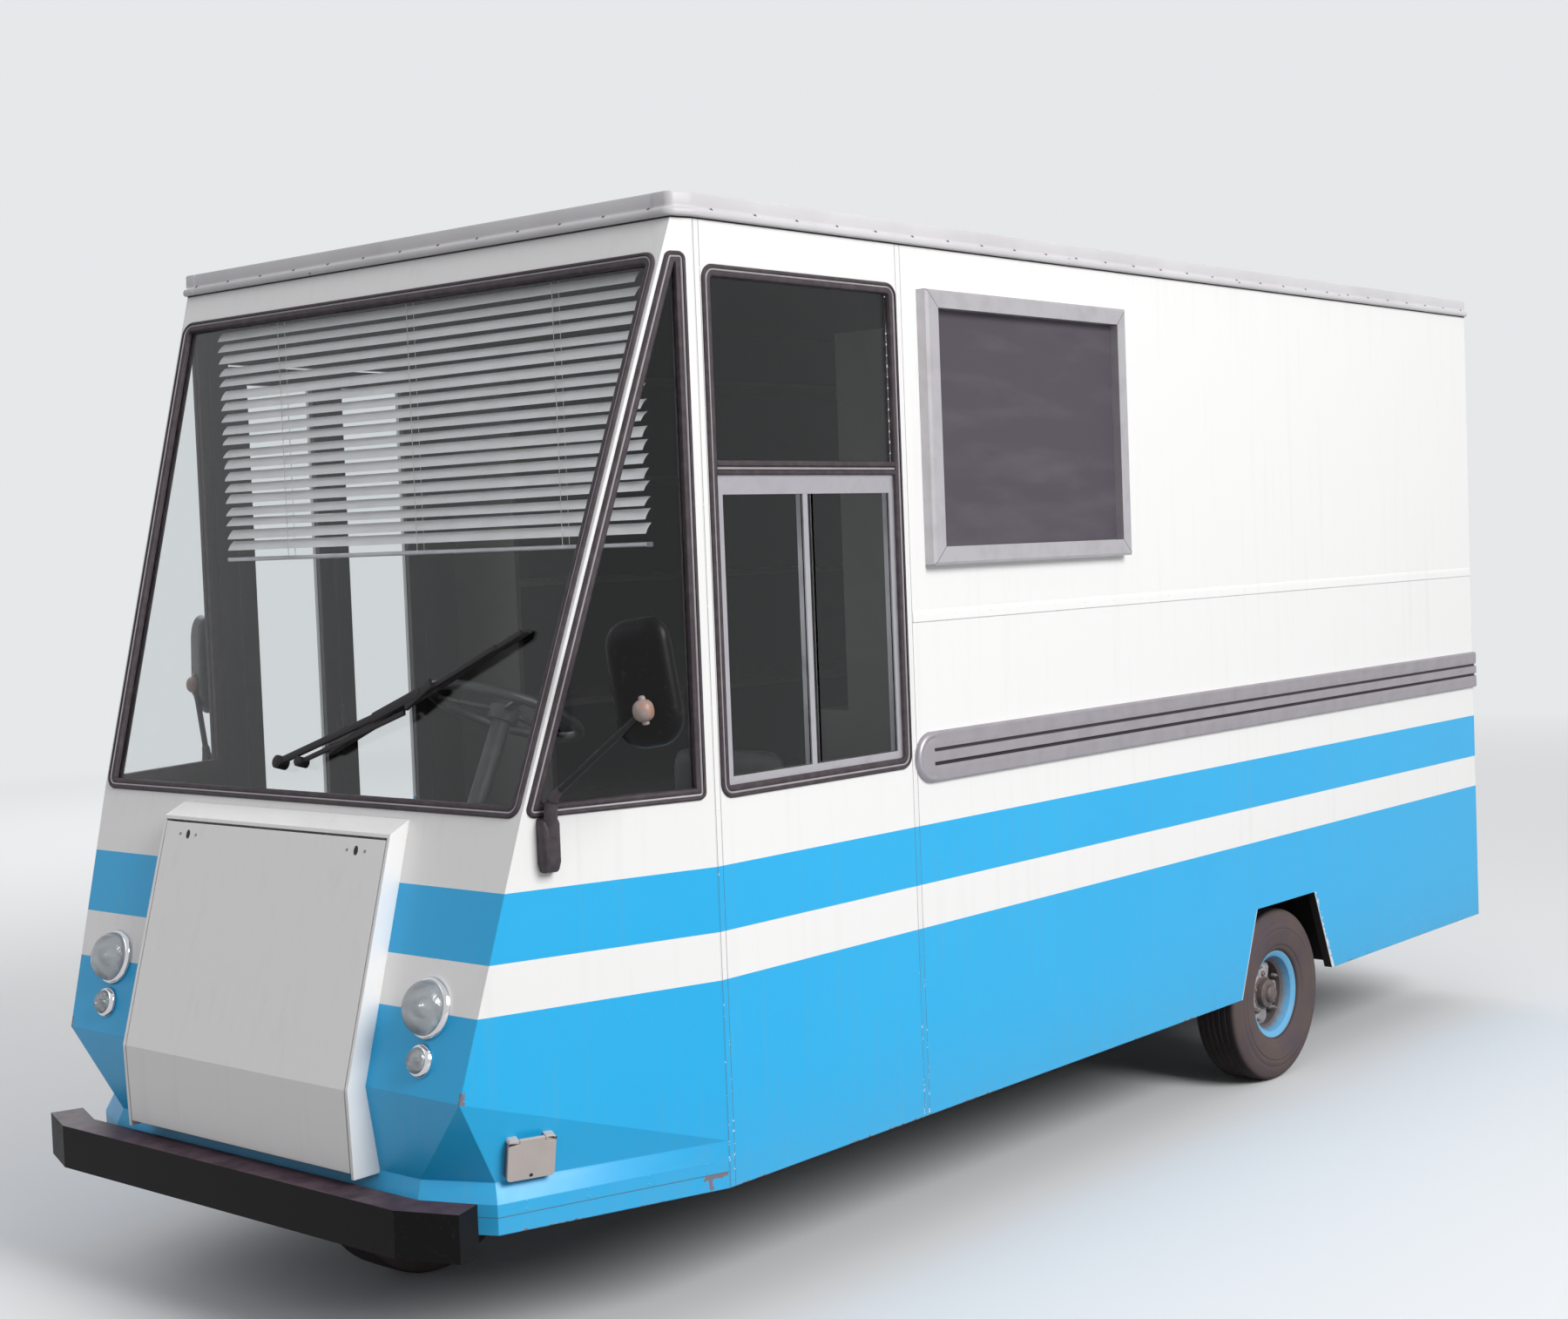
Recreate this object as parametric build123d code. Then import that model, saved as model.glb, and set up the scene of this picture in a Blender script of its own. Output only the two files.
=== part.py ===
from build123d import *
import math
import os

# Three-wheeled electric shop van, in millimetres.
# Front faces -Y, the driver's side is +X, and the ground is Z = 0.
# The origin is on the ground, halfway along and across the whole van.

# Lengths along the van
CAB_LENGTH = 1414
BOX_LENGTH = 3484
FRONT_GUARD_PROUD = 105
REAR_GUARD_PROUD = 62
REAR_GUARD_SHORT = 60
OVERALL_LENGTH = FRONT_GUARD_PROUD + CAB_LENGTH + BOX_LENGTH + REAR_GUARD_PROUD
FRONT_Y = -OVERALL_LENGTH / 2
KINK_Y = FRONT_Y + FRONT_GUARD_PROUD
SEAM_Y = KINK_Y + CAB_LENGTH
REAR_Y = SEAM_Y + BOX_LENGTH

# Heights
SKIRT_Z = 330
BAND_CREASE_Z = 400
BAND_TOP_Z = 445
KINK_Z = 648
SILL_Z = 1267
ROOF_TOP = 2700
ROOF_THICK = 60
LIP_Z = ROOF_TOP - ROOF_THICK
FLOOR_THICK = 25
FLOOR_Z = 600

# Body form
HALF_W = 995
TAPER = 0.3123
NOSE_SLOPE = 0.272
SCREEN_SLOPE = 0.3071
LIP_BACK = NOSE_SLOPE * (SILL_Z - KINK_Z) + SCREEN_SLOPE * (LIP_Z - SILL_Z)
LIP_TO_BEND = 55
BEND_Y = KINK_Y + LIP_BACK + LIP_TO_BEND
KINK_HALF_W = HALF_W - TAPER * (BEND_Y - KINK_Y)
UNDERCUT = 30
WALL = 30
SHELL = 25
TRIM_BEAD = 14
TRIM_BEAD_H = 18
TRIM_BAND = 6
TRIM_UP = 4
FIT = 0.3

# Corners of the band under the nose: half width and distance behind the kink
BAND_TOP_PLAN = [(KINK_HALF_W - 184, UNDERCUT), (KINK_HALF_W - 15, 106)]
BAND_LOW_PLAN = [(KINK_HALF_W - 176, 12), (KINK_HALF_W + 6, 92)]

# Bumpers
FRONT_GUARD_Z = (310, 420)
FRONT_GUARD_DEPTH = 82
FRONT_GUARD_BEND_X = 679
FRONT_GUARD_END = (155, 57)
GUARD_BRACKET_X = (350, 410)
GUARD_BRACKET_Z = (340, 395)
REAR_GUARD_Z = (350, 450)
GUARD_WALL = 6

# Windows
SCREEN_MARGIN = 10
SCREEN_BOTTOM_Z = SILL_Z + 1
SCREEN_DROP = 78
SCREEN_TOP_Z = LIP_Z - SCREEN_DROP
QUARTER_BACK = 21
QUARTER_TOP_WIDTH = 52
QUARTER_MARGIN = 8
SIDE_WINDOW_FRONT = 24
SIDE_WINDOW_BACK = 14
SIDE_WINDOW_BOTTOM_Z = 1263
SIDE_WINDOW_DROP = 102
SIDE_WINDOW_TOP_Z = LIP_Z - SIDE_WINDOW_DROP
SEAL = 30
SEAL_PROUD = 5
GLASS = 6
GLASS_DEPTH = 9
CORNER_R = 38
BAR_DROP = 514
BAR_Z = SIDE_WINDOW_TOP_Z - BAR_DROP
BAR_H = 27
SLIDE_FRAME = 20
SLIDE_DEPTH = 26
STILE_Y = 396
STILE_W = 18

# Bonnet
BONNET_HALF_W = 462
BONNET_DEPTH = 50
BONNET_TOP_Z = 1221
BONNET_SLOPE_RISE = 27
BONNET_BOTTOM_Z = 438
BONNET_BOTTOM_BACK = 7
BONNET_WALL = 9
BONNET_GAP = 5
BONNET_SKIN = 16
BONNET_PIN_R = 5
BONNET_PIN_PLAY = 0.3
BONNET_PIN_UP = 10
BONNET_PIN_REACH = 30
BONNET_SWING = 80

# Lamps on the nose: height, radius, dome height
HEADLAMP = (840, 70, 62)
INDICATOR = (725, 37, 34)
LAMP_INSET = 150
LAMP_X = KINK_HALF_W - LAMP_INSET
LAMP_COLLAR = 12

# Lamps on the rear wall
TAIL_LAMP_W = 110
TAIL_LAMP_INSET = 50
TAIL_LAMP_PROUD = 40
TAIL_LAMP_ROUND = 18
TAIL_LAMP_Z = (620, 860)

# Charging box on the driver's side of the nose
CHARGE_ALONG = 76
CHARGE_UP = 54
CHARGE_W = 114
CHARGE_H = 92
CHARGE_PROUD = 16
CHARGE_LID = 7
CHARGE_KNUCKLE_R = 5
CHARGE_BARREL = 26
CHARGE_GAP = 0.3
CHARGE_SOCKET_R = 24
CHARGE_SOCKET_DEPTH = 14
CHARGE_SWING = 100

# Wheels
TYRE_R = 288
TYRE_W = 178
BEAD_R = 133
FLANGE_R = 148
RIM_HALF = 64
RIM_FLANGE = 6
RIM_LIP = 8
RIM_WELL = 20
RIM_WELL_HALF = 30
DISC_FACE = 30
DISC_THICK = 10
DISC_DISH = 6
DISC_CROWN = 40
NUT_R = 10
NUT_H = 12
SLOT_R = 13
SLOT_UP = 14
HUB_R = 44
HUB_SPAN = (-24, 66)
HUB_CAP = 8
STUB_END = 2
STUB_R = 25
STUB_PLAY = 0.05
WHEEL_NUTS = 5
NUT_CIRCLE_R = 70
TYRE_TREAD_W = 104
TYRE_SHOULDER = (9, 24)
TYRE_BULGE_UP = 44
REAR_OVERHANG = 1512
REAR_AXLE_Y = REAR_Y - REAR_OVERHANG
WHEEL_TUCK = 34
REAR_WHEEL_X = HALF_W - WHEEL_TUCK - TYRE_W / 2
FRONT_AXLE_BACK = 514
FRONT_AXLE_Y = KINK_Y + FRONT_AXLE_BACK
AXLE_Z = TYRE_R
STEER_SWING = 60

# Wheel arch in the box side
ARCH_TOP_Z = 610
ARCH_TOP_HALF = 195
ARCH_BOTTOM_HALF = 308

# Housing over each rear wheel
WHEEL_BOX_CLEAR = 45
WHEEL_BOX_LONG = 20
WHEEL_BOX_UP = 60
WHEEL_BOX_WALL = 10
WHEEL_LINER_Z = 350

# Entrance on the right side
POST_FRONT_W = 64
POST_REAR_W = 20
DOOR_DROP = 190
DOOR_TOP_Z = LIP_Z - DOOR_DROP
DOOR_BOTTOM_Z = 372
DOOR_THICK = 34
DOOR_GAP = 6
DOOR_STILE = 52
DOOR_HINGE_UP = [248, 988]
DOOR_HINGE_DOWN = 310
DOOR_HINGE_Z = [*[DOOR_BOTTOM_Z + up for up in DOOR_HINGE_UP], DOOR_TOP_Z - DOOR_HINGE_DOWN]
DOOR_KNUCKLE = 40
DOOR_KNUCKLE_R = 6
DOOR_KNUCKLE_GAP = 0.3
DOOR_PLATE = 3
DOOR_PLATE_W = 16
DOOR_GLASS_Z = 1000
DOOR_SWING = 84
STEP_DEPTH = 300
STEP_THICK = 20

# Chassis
RAIL_X = 380
RAIL_W = 50
RAIL_H = 100
RAIL_WALL = 6
RAIL_FRONT_Y = KINK_Y + 70
BATTERY_BACK = 36
BATTERY_SHORT = 382
BATTERY_Y = (SEAM_Y + BATTERY_BACK, REAR_AXLE_Y - BATTERY_SHORT)
CROSS_FROM_SEAM = [-404, 446]
CROSS_FROM_AXLE = [-492, 378]
CROSS_FROM_REAR = 198
CROSS_Y = [
    RAIL_FRONT_Y,
    *[SEAM_Y + y for y in CROSS_FROM_SEAM],
    *[REAR_AXLE_Y + y for y in CROSS_FROM_AXLE],
    REAR_Y - CROSS_FROM_REAR,
]
OUTRIGGER_IN = 20
OUTRIGGER_BEHIND_AXLE = 388
OUTRIGGER_FROM_REAR = 248
OUTRIGGER_Y = [
    BATTERY_Y[0] + OUTRIGGER_IN,
    (BATTERY_Y[0] + BATTERY_Y[1]) / 2,
    BATTERY_Y[1] - OUTRIGGER_IN,
    REAR_AXLE_Y + OUTRIGGER_BEHIND_AXLE,
    REAR_Y - OUTRIGGER_FROM_REAR,
]
SPRING_HALF = 450
SPRING_LEAF = 8
SPRING_LEAVES = 4
SPRING_W = 60
SPRING_SEAT = 8
AXLE_R = 38
SPRING_PAD = 60
SPRING_EYE = 25
SPRING_STEP = 0.2
HANGER = (6, 30)
BEAM_INSET = 14
BATTERY_X = (RAIL_X + 50, HALF_W - 70)
BATTERY_Z = (345, 545)

# Front drive unit
LEG_GAP = 12
LEG_THICK = 22
LEG_W = 90
CROWN_Z = 622
CROWN_THICK = 25
CROWN_R = 190
SPINDLE_R = 99
RING_R = 215
RING_PLAY = 0.3
RING_THICK = 40
BRIDGE_W = 90
BRIDGE_POST = (12, 60)
MOTOR_R = 112
MOTOR_H = 290
MOTOR_FLANGE = (22, 16)
MOTOR_CAP = (20, 22)
CHAIN_CASE_W = 40
CHAIN_CASE_R = (70, 52)
CHAIN_CASE_DROP = 70
TUNNEL_HALF_W = 420
TUNNEL_BACK = 850
TUNNEL_TOP_Z = 1030
TUNNEL_WALL = 12

# Driver's place
WHEEL_X = 360
STEER_WHEEL_BACK = 560
STEER_WHEEL_Z = 1470
STEER_WHEEL_R = 205
STEER_RIM_R = 13
STEER_SPOKE = (22, 8)
STEER_TILT = 25
STEER_HUB_R = 38
STEER_HUB_H = 36
STEER_HUB_DROP = 28
STEER_RATIO = 9
SEAT_X = 420
SEAT_BACK = 1060
SEAT_W = 440
SEAT_TOP_Z = 1040
CUSHION_THICK = 89.7
CUSHION_Y = (-200, 150)
BACKREST_Y = (212.3, 272)
BACKREST_Z = (-20, 280)
SEAT_FOOT = (140, 30)
SEAT_POST = 60
SEAT_PAN = (180, 20)
SEAT_PAN_BACK = 200
SEAT_STAY = (30, 12)
SEAT_STAY_UP = 120
DASH_Z = 1235
DASH_DEPTH = 250
DASH_THICK = 22
COLUMN_R = 24
COLUMN_END_UP = 40
GEAR_HALF_W = 55
GEAR_Y = (-70, 60)
GEAR_H = 60

# Fittings on the sides
MOULDING_Z = (1216, 1352)
MOULDING_PROUD = 14
MOULDING_GROOVES = [1262, 1306]
MOULDING_GROOVE_H = 14
BOARD_Y = (75, 1038)
BOARD_DROP = 112
BOARD_H = 732
BOARD_Z = (LIP_Z - BOARD_DROP - BOARD_H, LIP_Z - BOARD_DROP)
BOARD_FRAME = 48
BOARD_PROUD = 36
BOARD_BEVEL = 7
BOARD_SINK = 26

# Mirrors: the left one is placed from the kink, the right one from the bend
MIRROR_LEFT_BACK = 226
MIRROR_LEFT_HEAD_BACK = 320
MIRROR_RIGHT_AHEAD = 35
MIRROR_RIGHT_HEAD_BEHIND = 35
MIRROR_FOOT_Z = (1147, 1262)
MIRROR_FOOT_W = 46
MIRROR_FOOT_THICK = 34
MIRROR_HEAD_OUT = 115
MIRROR_HEAD_W = 165
MIRROR_HEAD_H = 290
MIRROR_HEAD_Z = 1570
MIRROR_HEAD_THICK = 24
MIRROR_HEAD_ROUND = 52
MIRROR_TURN = math.radians(21)
MIRROR_LEAN = math.radians(8)
MIRROR_ARM_R = 8
MIRROR_BALL_R = 19
MIRROR_ROOT = 24
MIRROR_ELBOW_UP = 50
MIRROR_GRIP_DOWN = 60

# Wiper: places on the windscreen's plane, across and up from its lower edge
WIPER_PIVOT = (-73, 98)
WIPER_GRIP = 0.45
WIPER_HEEL = (112, 130)
WIPER_TIP_INSET = 81
WIPER_TIP_UP = 440
WIPER_BOSS = (15, 22)
WIPER_ARM = (10, 6)
WIPER_BLADE = (9, 22)
WIPER_LIFT = 15

# Blind behind the windscreen
BLIND_INSET = 145
BLIND_HALF_W = HALF_W - BLIND_INSET
BLIND_RAIL = 24
BLIND_FOOT = 12
BLIND_OVER = 10
BLIND_LENGTH = 700
BLIND_Z = (SCREEN_TOP_Z + BLIND_OVER - BLIND_LENGTH, SCREEN_TOP_Z + BLIND_OVER)
BLIND_SLATS = 19
BLIND_PLAY = 0.3
BLIND_CORD = 3
BLIND_CORD_X = 560
SLAT_W = 33
SLAT_THICK = 2
SLAT_TILT = 50

# Shelf racks in the box
RACK_DEPTH = 420
UPPER_DEPTH = 290
RACK_FROM_SEAM = 110
RACK_FROM_REAR = 124
RACK_END = 18
RACK_PLANK = 20
LOWER_PLANKS = [700, 1040, 1400]
UPPER_PITCH = 330
UPPER_TOP_DROP = 200
UPPER_PLANKS = [LIP_Z - UPPER_TOP_DROP - i * UPPER_PITCH for i in (2, 1, 0)]
AISLE_SHEET = 3
AISLE_CLEAR = 10


# A cylinder or box that stands on its place
BASE = (Align.CENTER, Align.CENTER, Align.MIN)


def box(x, y, z):
    """Box between the low and high value on each axis."""
    size = Box(x[1] - x[0], y[1] - y[0], z[1] - z[0])
    return Pos((x[0] + x[1]) / 2, (y[0] + y[1]) / 2, (z[0] + z[1]) / 2) * size


def rod(start, end, radius):
    """Round bar from one point to another."""
    line = Vector(*end) - Vector(*start)
    plane = Plane(origin=start, z_dir=line)
    return plane * Cylinder(radius, line.length, align=BASE)


def spot(plane, x, y, z):
    """A place given in a plane's own coordinates."""
    return plane.from_local_coords(Vector(x, y, z))


def swap(part):
    """The same part on the other side of the van."""
    return mirror(part, about=Plane.YZ)


def both(part):
    return part + swap(part)


def prism(outline, plane, low, high):
    """Outline in a plane's own coordinates, extruded between two heights above it."""
    face = make_face(Polyline(*outline, close=True))
    return plane * Pos(0, 0, low) * extrude(face, high - low)


def rounded(outline, radius, plane, low, high, inset=0.0):
    """Prism with rounded corners, its outline moved inwards by inset."""
    face = make_face(Polyline(*outline, close=True))
    face = fillet(face.vertices(), radius)
    if inset:
        face = offset(face, amount=-inset)
    return plane * Pos(0, 0, low) * extrude(face, high - low)


# Faces of the van, as planes whose own Y points up
SIDE = Plane(origin=(HALF_W, 0, 0), x_dir=(0, 1, 0), z_dir=(1, 0, 0))
CHEEK = Plane(origin=(HALF_W, BEND_Y, 0), x_dir=(TAPER, 1, 0), z_dir=(1, -TAPER, 0))
CROSS = Plane(origin=(0, 0, 0), x_dir=(0, 1, 0), z_dir=(1, 0, 0))
NOSE = Plane(origin=(0, KINK_Y, KINK_Z), x_dir=(1, 0, 0), z_dir=(0, -1, NOSE_SLOPE))
SILL_Y = KINK_Y + NOSE_SLOPE * (SILL_Z - KINK_Z)
SCREEN = Plane(origin=(0, SILL_Y, SILL_Z), x_dir=(1, 0, 0), z_dir=(0, -1, SCREEN_SLOPE))
SCREEN_STRETCH = math.hypot(1, SCREEN_SLOPE)
CHEEK_STRETCH = math.hypot(1, TAPER)


def nose_y(z):
    """Front face of the cab at a height above the kink."""
    if z <= SILL_Z:
        return KINK_Y + NOSE_SLOPE * (z - KINK_Z)
    return SILL_Y + SCREEN_SLOPE * (z - SILL_Z)


def cheek_x(y):
    """Half width of the tapered cab side."""
    return HALF_W - TAPER * (BEND_Y - y)


def nose_planes():
    """A point and an outward normal for each face of the nose, on both sides."""
    planes = [
        ((0, SILL_Y, SILL_Z), (0, -1, SCREEN_SLOPE)),
        ((0, KINK_Y, KINK_Z), (0, -1, NOSE_SLOPE)),
        ((0, KINK_Y, KINK_Z), (0, -1, -UNDERCUT / (KINK_Z - BAND_TOP_Z))),
    ]
    for side in (1, -1):
        kink = Vector(side * cheek_x(KINK_Y), KINK_Y, KINK_Z)
        inner, outer = [Vector(side * x, KINK_Y + back, BAND_TOP_Z) for x, back in BAND_TOP_PLAN]
        bend = Vector(side * HALF_W, BEND_Y, BAND_TOP_Z)
        chamfer = (inner - kink).cross(outer - kink)
        tuck = (outer - kink).cross(bend - kink)
        planes.append(((side * HALF_W, BEND_Y, 0), (side, -TAPER, 0)))
        planes.append((tuple(kink), tuple(chamfer * side)))
        planes.append((tuple(kink), tuple(tuck * side)))
    return planes


def nose_core(inset, low=BAND_TOP_Z, high=LIP_Z, back=BEND_Y):
    """Solid nose between its planes, with each plane moved inwards by inset."""
    core = box((-HALF_W, HALF_W), (KINK_Y - SHELL, back), (low, high))
    for point, normal in nose_planes():
        outward = Vector(*normal).normalized()
        cut = Plane(origin=Vector(*point) - outward * inset, z_dir=outward)
        core = split(core, bisect_by=cut, keep=Keep.BOTTOM)
    return core


def band_outline(plan):
    """Closed outline of the band under the nose, seen from above."""
    right = [(x, KINK_Y + back) for x, back in plan] + [(HALF_W, BEND_Y)]
    return right + [(-x, y) for x, y in reversed(right)]


def band_face(plan, z):
    """The band's outline as a face at its height."""
    return make_face(Polyline(*[(x, y, z) for x, y in band_outline(plan)], close=True))


def band_ledge():
    """Sloped upper part of the band, between its crease and its top."""
    return loft([band_face(BAND_LOW_PLAN, BAND_CREASE_Z), band_face(BAND_TOP_PLAN, BAND_TOP_Z)], ruled=True)


SCREEN_HALF_BOTTOM = cheek_x(nose_y(SCREEN_BOTTOM_Z)) - SCREEN_MARGIN
SCREEN_HALF_TOP = cheek_x(nose_y(SCREEN_TOP_Z)) - SCREEN_MARGIN
SCREEN_UP = [(z - SILL_Z) * SCREEN_STRETCH for z in (SCREEN_BOTTOM_Z, SCREEN_TOP_Z)]
SCREEN_OUTLINE = [
    (-SCREEN_HALF_BOTTOM, SCREEN_UP[0]),
    (SCREEN_HALF_BOTTOM, SCREEN_UP[0]),
    (SCREEN_HALF_TOP, SCREEN_UP[1]),
    (-SCREEN_HALF_TOP, SCREEN_UP[1]),
]


def cheek_edge(z):
    """Distance along the cheek from the bend to the front corner, as a negative number."""
    return (nose_y(z) - BEND_Y) * CHEEK_STRETCH


WIPER_TIP = (SCREEN_HALF_BOTTOM - WIPER_TIP_INSET, WIPER_TIP_UP)


QUARTER_OUTLINE = [
    (cheek_edge(SCREEN_BOTTOM_Z) + QUARTER_MARGIN, SCREEN_BOTTOM_Z),
    (-QUARTER_BACK, SCREEN_BOTTOM_Z),
    (-QUARTER_BACK, SCREEN_TOP_Z),
    (-QUARTER_BACK - QUARTER_TOP_WIDTH, SCREEN_TOP_Z),
]
SIDE_WINDOW_OUTLINE = [
    (BEND_Y + SIDE_WINDOW_FRONT, SIDE_WINDOW_BOTTOM_Z),
    (SEAM_Y - SIDE_WINDOW_BACK, SIDE_WINDOW_BOTTOM_Z),
    (SEAM_Y - SIDE_WINDOW_BACK, SIDE_WINDOW_TOP_Z),
    (BEND_Y + SIDE_WINDOW_FRONT, SIDE_WINDOW_TOP_Z),
]


def nose_shell():
    """Painted nose with its window openings, the opening behind the bonnet and the band."""
    shell = nose_core(0) - nose_core(SHELL, BAND_TOP_Z - 1, LIP_Z + 1, BEND_Y + 1)
    skirt = prism(band_outline(BAND_LOW_PLAN), Plane.XY, SKIRT_Z, BAND_CREASE_Z)
    hollow = make_face(Polyline(*band_outline(BAND_TOP_PLAN), close=True))
    hollow = offset(hollow, amount=-SHELL, kind=Kind.INTERSECTION)
    hollow = Pos(0, 0, SKIRT_Z - 1) * extrude(hollow, BAND_TOP_Z - SKIRT_Z + 2)
    inside = HALF_W - SHELL
    back = box((-inside, inside), (BEND_Y - 2 * SHELL, BEND_Y + 1), (SKIRT_Z - 1, BAND_TOP_Z + 1))
    shell += band_ledge() + skirt - hollow - back
    shell -= rounded(SCREEN_OUTLINE, CORNER_R, SCREEN, -3 * SHELL, SHELL)
    quarter = rounded(QUARTER_OUTLINE, CORNER_R / 2, CHEEK, -2 * SHELL, SHELL)
    shell -= both(quarter)
    reach = BONNET_HALF_W - BONNET_DEPTH
    hatch_top = BONNET_TOP_Z - BONNET_DEPTH
    shell -= box((-reach, reach), (KINK_Y - SHELL, SILL_Y), (BAND_TOP_Z + SHELL, hatch_top))
    return shell


def bonnet_profile(inset, lift=0.0):
    """Side outline of the bonnet's front face: inset moves it inwards, lift shortens its ends."""
    proud = BONNET_DEPTH * math.hypot(1, NOSE_SLOPE)
    front = KINK_Y - proud + inset
    top = BONNET_TOP_Z - lift
    top_y = front + NOSE_SLOPE * (top - KINK_Z)
    bottom = BONNET_BOTTOM_Z + lift
    return [(front + BONNET_BOTTOM_BACK, bottom), (front, KINK_Z), (top_y, top)]


def bonnet_frame():
    """White surround that stands proud of the nose, open at the front for the panel."""
    face = bonnet_profile(0)
    into = (KINK_Y + 2 * UNDERCUT, BONNET_BOTTOM_Z)
    top_in = (nose_y(BONNET_TOP_Z) + SHELL, BONNET_TOP_Z + BONNET_SLOPE_RISE * 1.4)
    block = prism(face + [top_in, into], CROSS, -BONNET_HALF_W, BONNET_HALF_W)
    block -= nose_core(0)
    block -= band_ledge()
    reach = BONNET_HALF_W - BONNET_WALL
    room = [
        (KINK_Y - 3 * BONNET_DEPTH, BONNET_BOTTOM_Z - 1),
        (KINK_Y + 3 * UNDERCUT, BONNET_BOTTOM_Z - 1),
        (nose_y(BONNET_TOP_Z) + 2 * SHELL, BONNET_TOP_Z - BONNET_WALL),
        (KINK_Y - 3 * BONNET_DEPTH, BONNET_TOP_Z - BONNET_WALL),
    ]
    frame = block - prism(room, CROSS, -reach, reach)
    y, z = bonnet_hinge()
    start, end = (reach + BONNET_WALL / 2, y, z), (reach - BONNET_PIN_REACH, y, z)
    return frame + both(rod(start, end, BONNET_PIN_R))


def bonnet_hinge():
    """Y and Z of the pins that the panel turns on, inside its lower edge."""
    bottom_y, bottom_z = bonnet_profile(0, BONNET_WALL + BONNET_GAP)[0]
    return bottom_y + BONNET_SKIN / 2, bottom_z + BONNET_PIN_UP


def bonnet_panel():
    """Folded front panel, hinged along its lower edge and locked at the top."""
    lift = BONNET_WALL + BONNET_GAP
    outer = bonnet_profile(0, lift)
    square = NOSE_SLOPE * BONNET_SKIN
    inner = [
        (outer[0][0] + BONNET_SKIN, outer[0][1]),
        (outer[1][0] + BONNET_SKIN, outer[1][1]),
        (outer[2][0] + BONNET_SKIN, outer[2][1] - square),
    ]
    reach = BONNET_HALF_W - BONNET_WALL - BONNET_GAP
    y, z = bonnet_hinge()
    tip = BONNET_HALF_W - BONNET_WALL - BONNET_PIN_REACH - BONNET_PIN_PLAY
    holes = both(rod((tip, y, z), (BONNET_HALF_W, y, z), BONNET_PIN_R + BONNET_PIN_PLAY))
    return prism(outer + inner[::-1], CROSS, -reach, reach) - holes


def cab_side_left():
    """Side panel with the large window opening, from the bend to the seam."""
    panel = box((HALF_W - WALL, HALF_W), (BEND_Y, SEAM_Y), (SKIRT_Z, LIP_Z))
    return panel - rounded(SIDE_WINDOW_OUTLINE, CORNER_R, SIDE, -2 * WALL, WALL)


DOOR_FRONT_Y = BEND_Y + POST_FRONT_W
DOOR_REAR_Y = SEAM_Y - POST_REAR_W
STEP_IN_X = -HALF_W + WALL + STEP_DEPTH

# The two leaves fold outwards: the rear leaf turns on the post, the front leaf on the rear one
LEAF_OUT_X = -HALF_W
LEAF_IN_X = LEAF_OUT_X + DOOR_THICK
DOOR_MID_Y = (DOOR_FRONT_Y + DOOR_REAR_Y) / 2
DOOR_AXIS_REAR = (LEAF_OUT_X - DOOR_KNUCKLE_R, DOOR_REAR_Y - DOOR_GAP / 2)
DOOR_AXIS_MID = (LEAF_IN_X + DOOR_KNUCKLE_R, DOOR_MID_Y)


def knuckle(axis, plate_x, plate_y, z):
    """One barrel of an upright hinge, on its plate."""
    half = DOOR_KNUCKLE / 2 - DOOR_KNUCKLE_GAP / 2
    barrel = rod((*axis, z - half), (*axis, z + half), DOOR_KNUCKLE_R)
    return barrel + box(plate_x, plate_y, (z - half, z + half))


def door_frame_right():
    """Posts, header and boarding step of the entrance."""
    frame = box((-HALF_W, -HALF_W + WALL), (BEND_Y, SEAM_Y), (SKIRT_Z, LIP_Z))
    across = (-HALF_W - 1, -HALF_W + WALL + 1)
    frame -= box(across, (DOOR_FRONT_Y, DOOR_REAR_Y), (DOOR_BOTTOM_Z, DOOR_TOP_Z))
    step_top = DOOR_BOTTOM_Z - DOOR_GAP
    step = (-HALF_W + WALL, STEP_IN_X)
    frame += box(step, (DOOR_FRONT_Y, DOOR_REAR_Y), (step_top - STEP_THICK, step_top))
    riser = (step[1] - STEP_THICK, step[1])
    floor_bottom = FLOOR_Z - FLOOR_THICK
    frame += box(riser, (DOOR_FRONT_Y, DOOR_REAR_Y), (step_top - STEP_THICK, floor_bottom))
    plate = (DOOR_REAR_Y, DOOR_REAR_Y + DOOR_PLATE_W)
    for z in DOOR_HINGE_Z:
        for end in (-1, 1):
            frame += knuckle(DOOR_AXIS_REAR, (-HALF_W - DOOR_PLATE, -HALF_W), plate, z + end * DOOR_KNUCKLE)
    return frame


def box_side(right=False):
    """Flat side of the box, with the straight-sided wheel arch."""
    side = box((HALF_W - WALL, HALF_W), (SEAM_Y, REAR_Y), (SKIRT_Z, LIP_Z))
    arch = [
        (REAR_AXLE_Y - ARCH_BOTTOM_HALF, SKIRT_Z - 1),
        (REAR_AXLE_Y + ARCH_BOTTOM_HALF, SKIRT_Z - 1),
        (REAR_AXLE_Y + ARCH_TOP_HALF, ARCH_TOP_Z),
        (REAR_AXLE_Y - ARCH_TOP_HALF, ARCH_TOP_Z),
    ]
    side -= prism(arch, SIDE, -2 * WALL, WALL)
    return swap(side) if right else side


def rear_wall():
    """Rear wall between the sides."""
    reach = HALF_W - WALL
    return box((-reach, reach), (REAR_Y - WALL, REAR_Y), (SKIRT_Z, LIP_Z))


def roof_outline():
    """Outline of the roof, seen from above."""
    front = nose_y(LIP_Z)
    right = [(cheek_x(front), front), (HALF_W, BEND_Y), (HALF_W, REAR_Y)]
    return right + [(-x, y) for x, y in reversed(right)]


def roof_panel():
    return prism(roof_outline(), Plane.XY, LIP_Z, ROOF_TOP)


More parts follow.
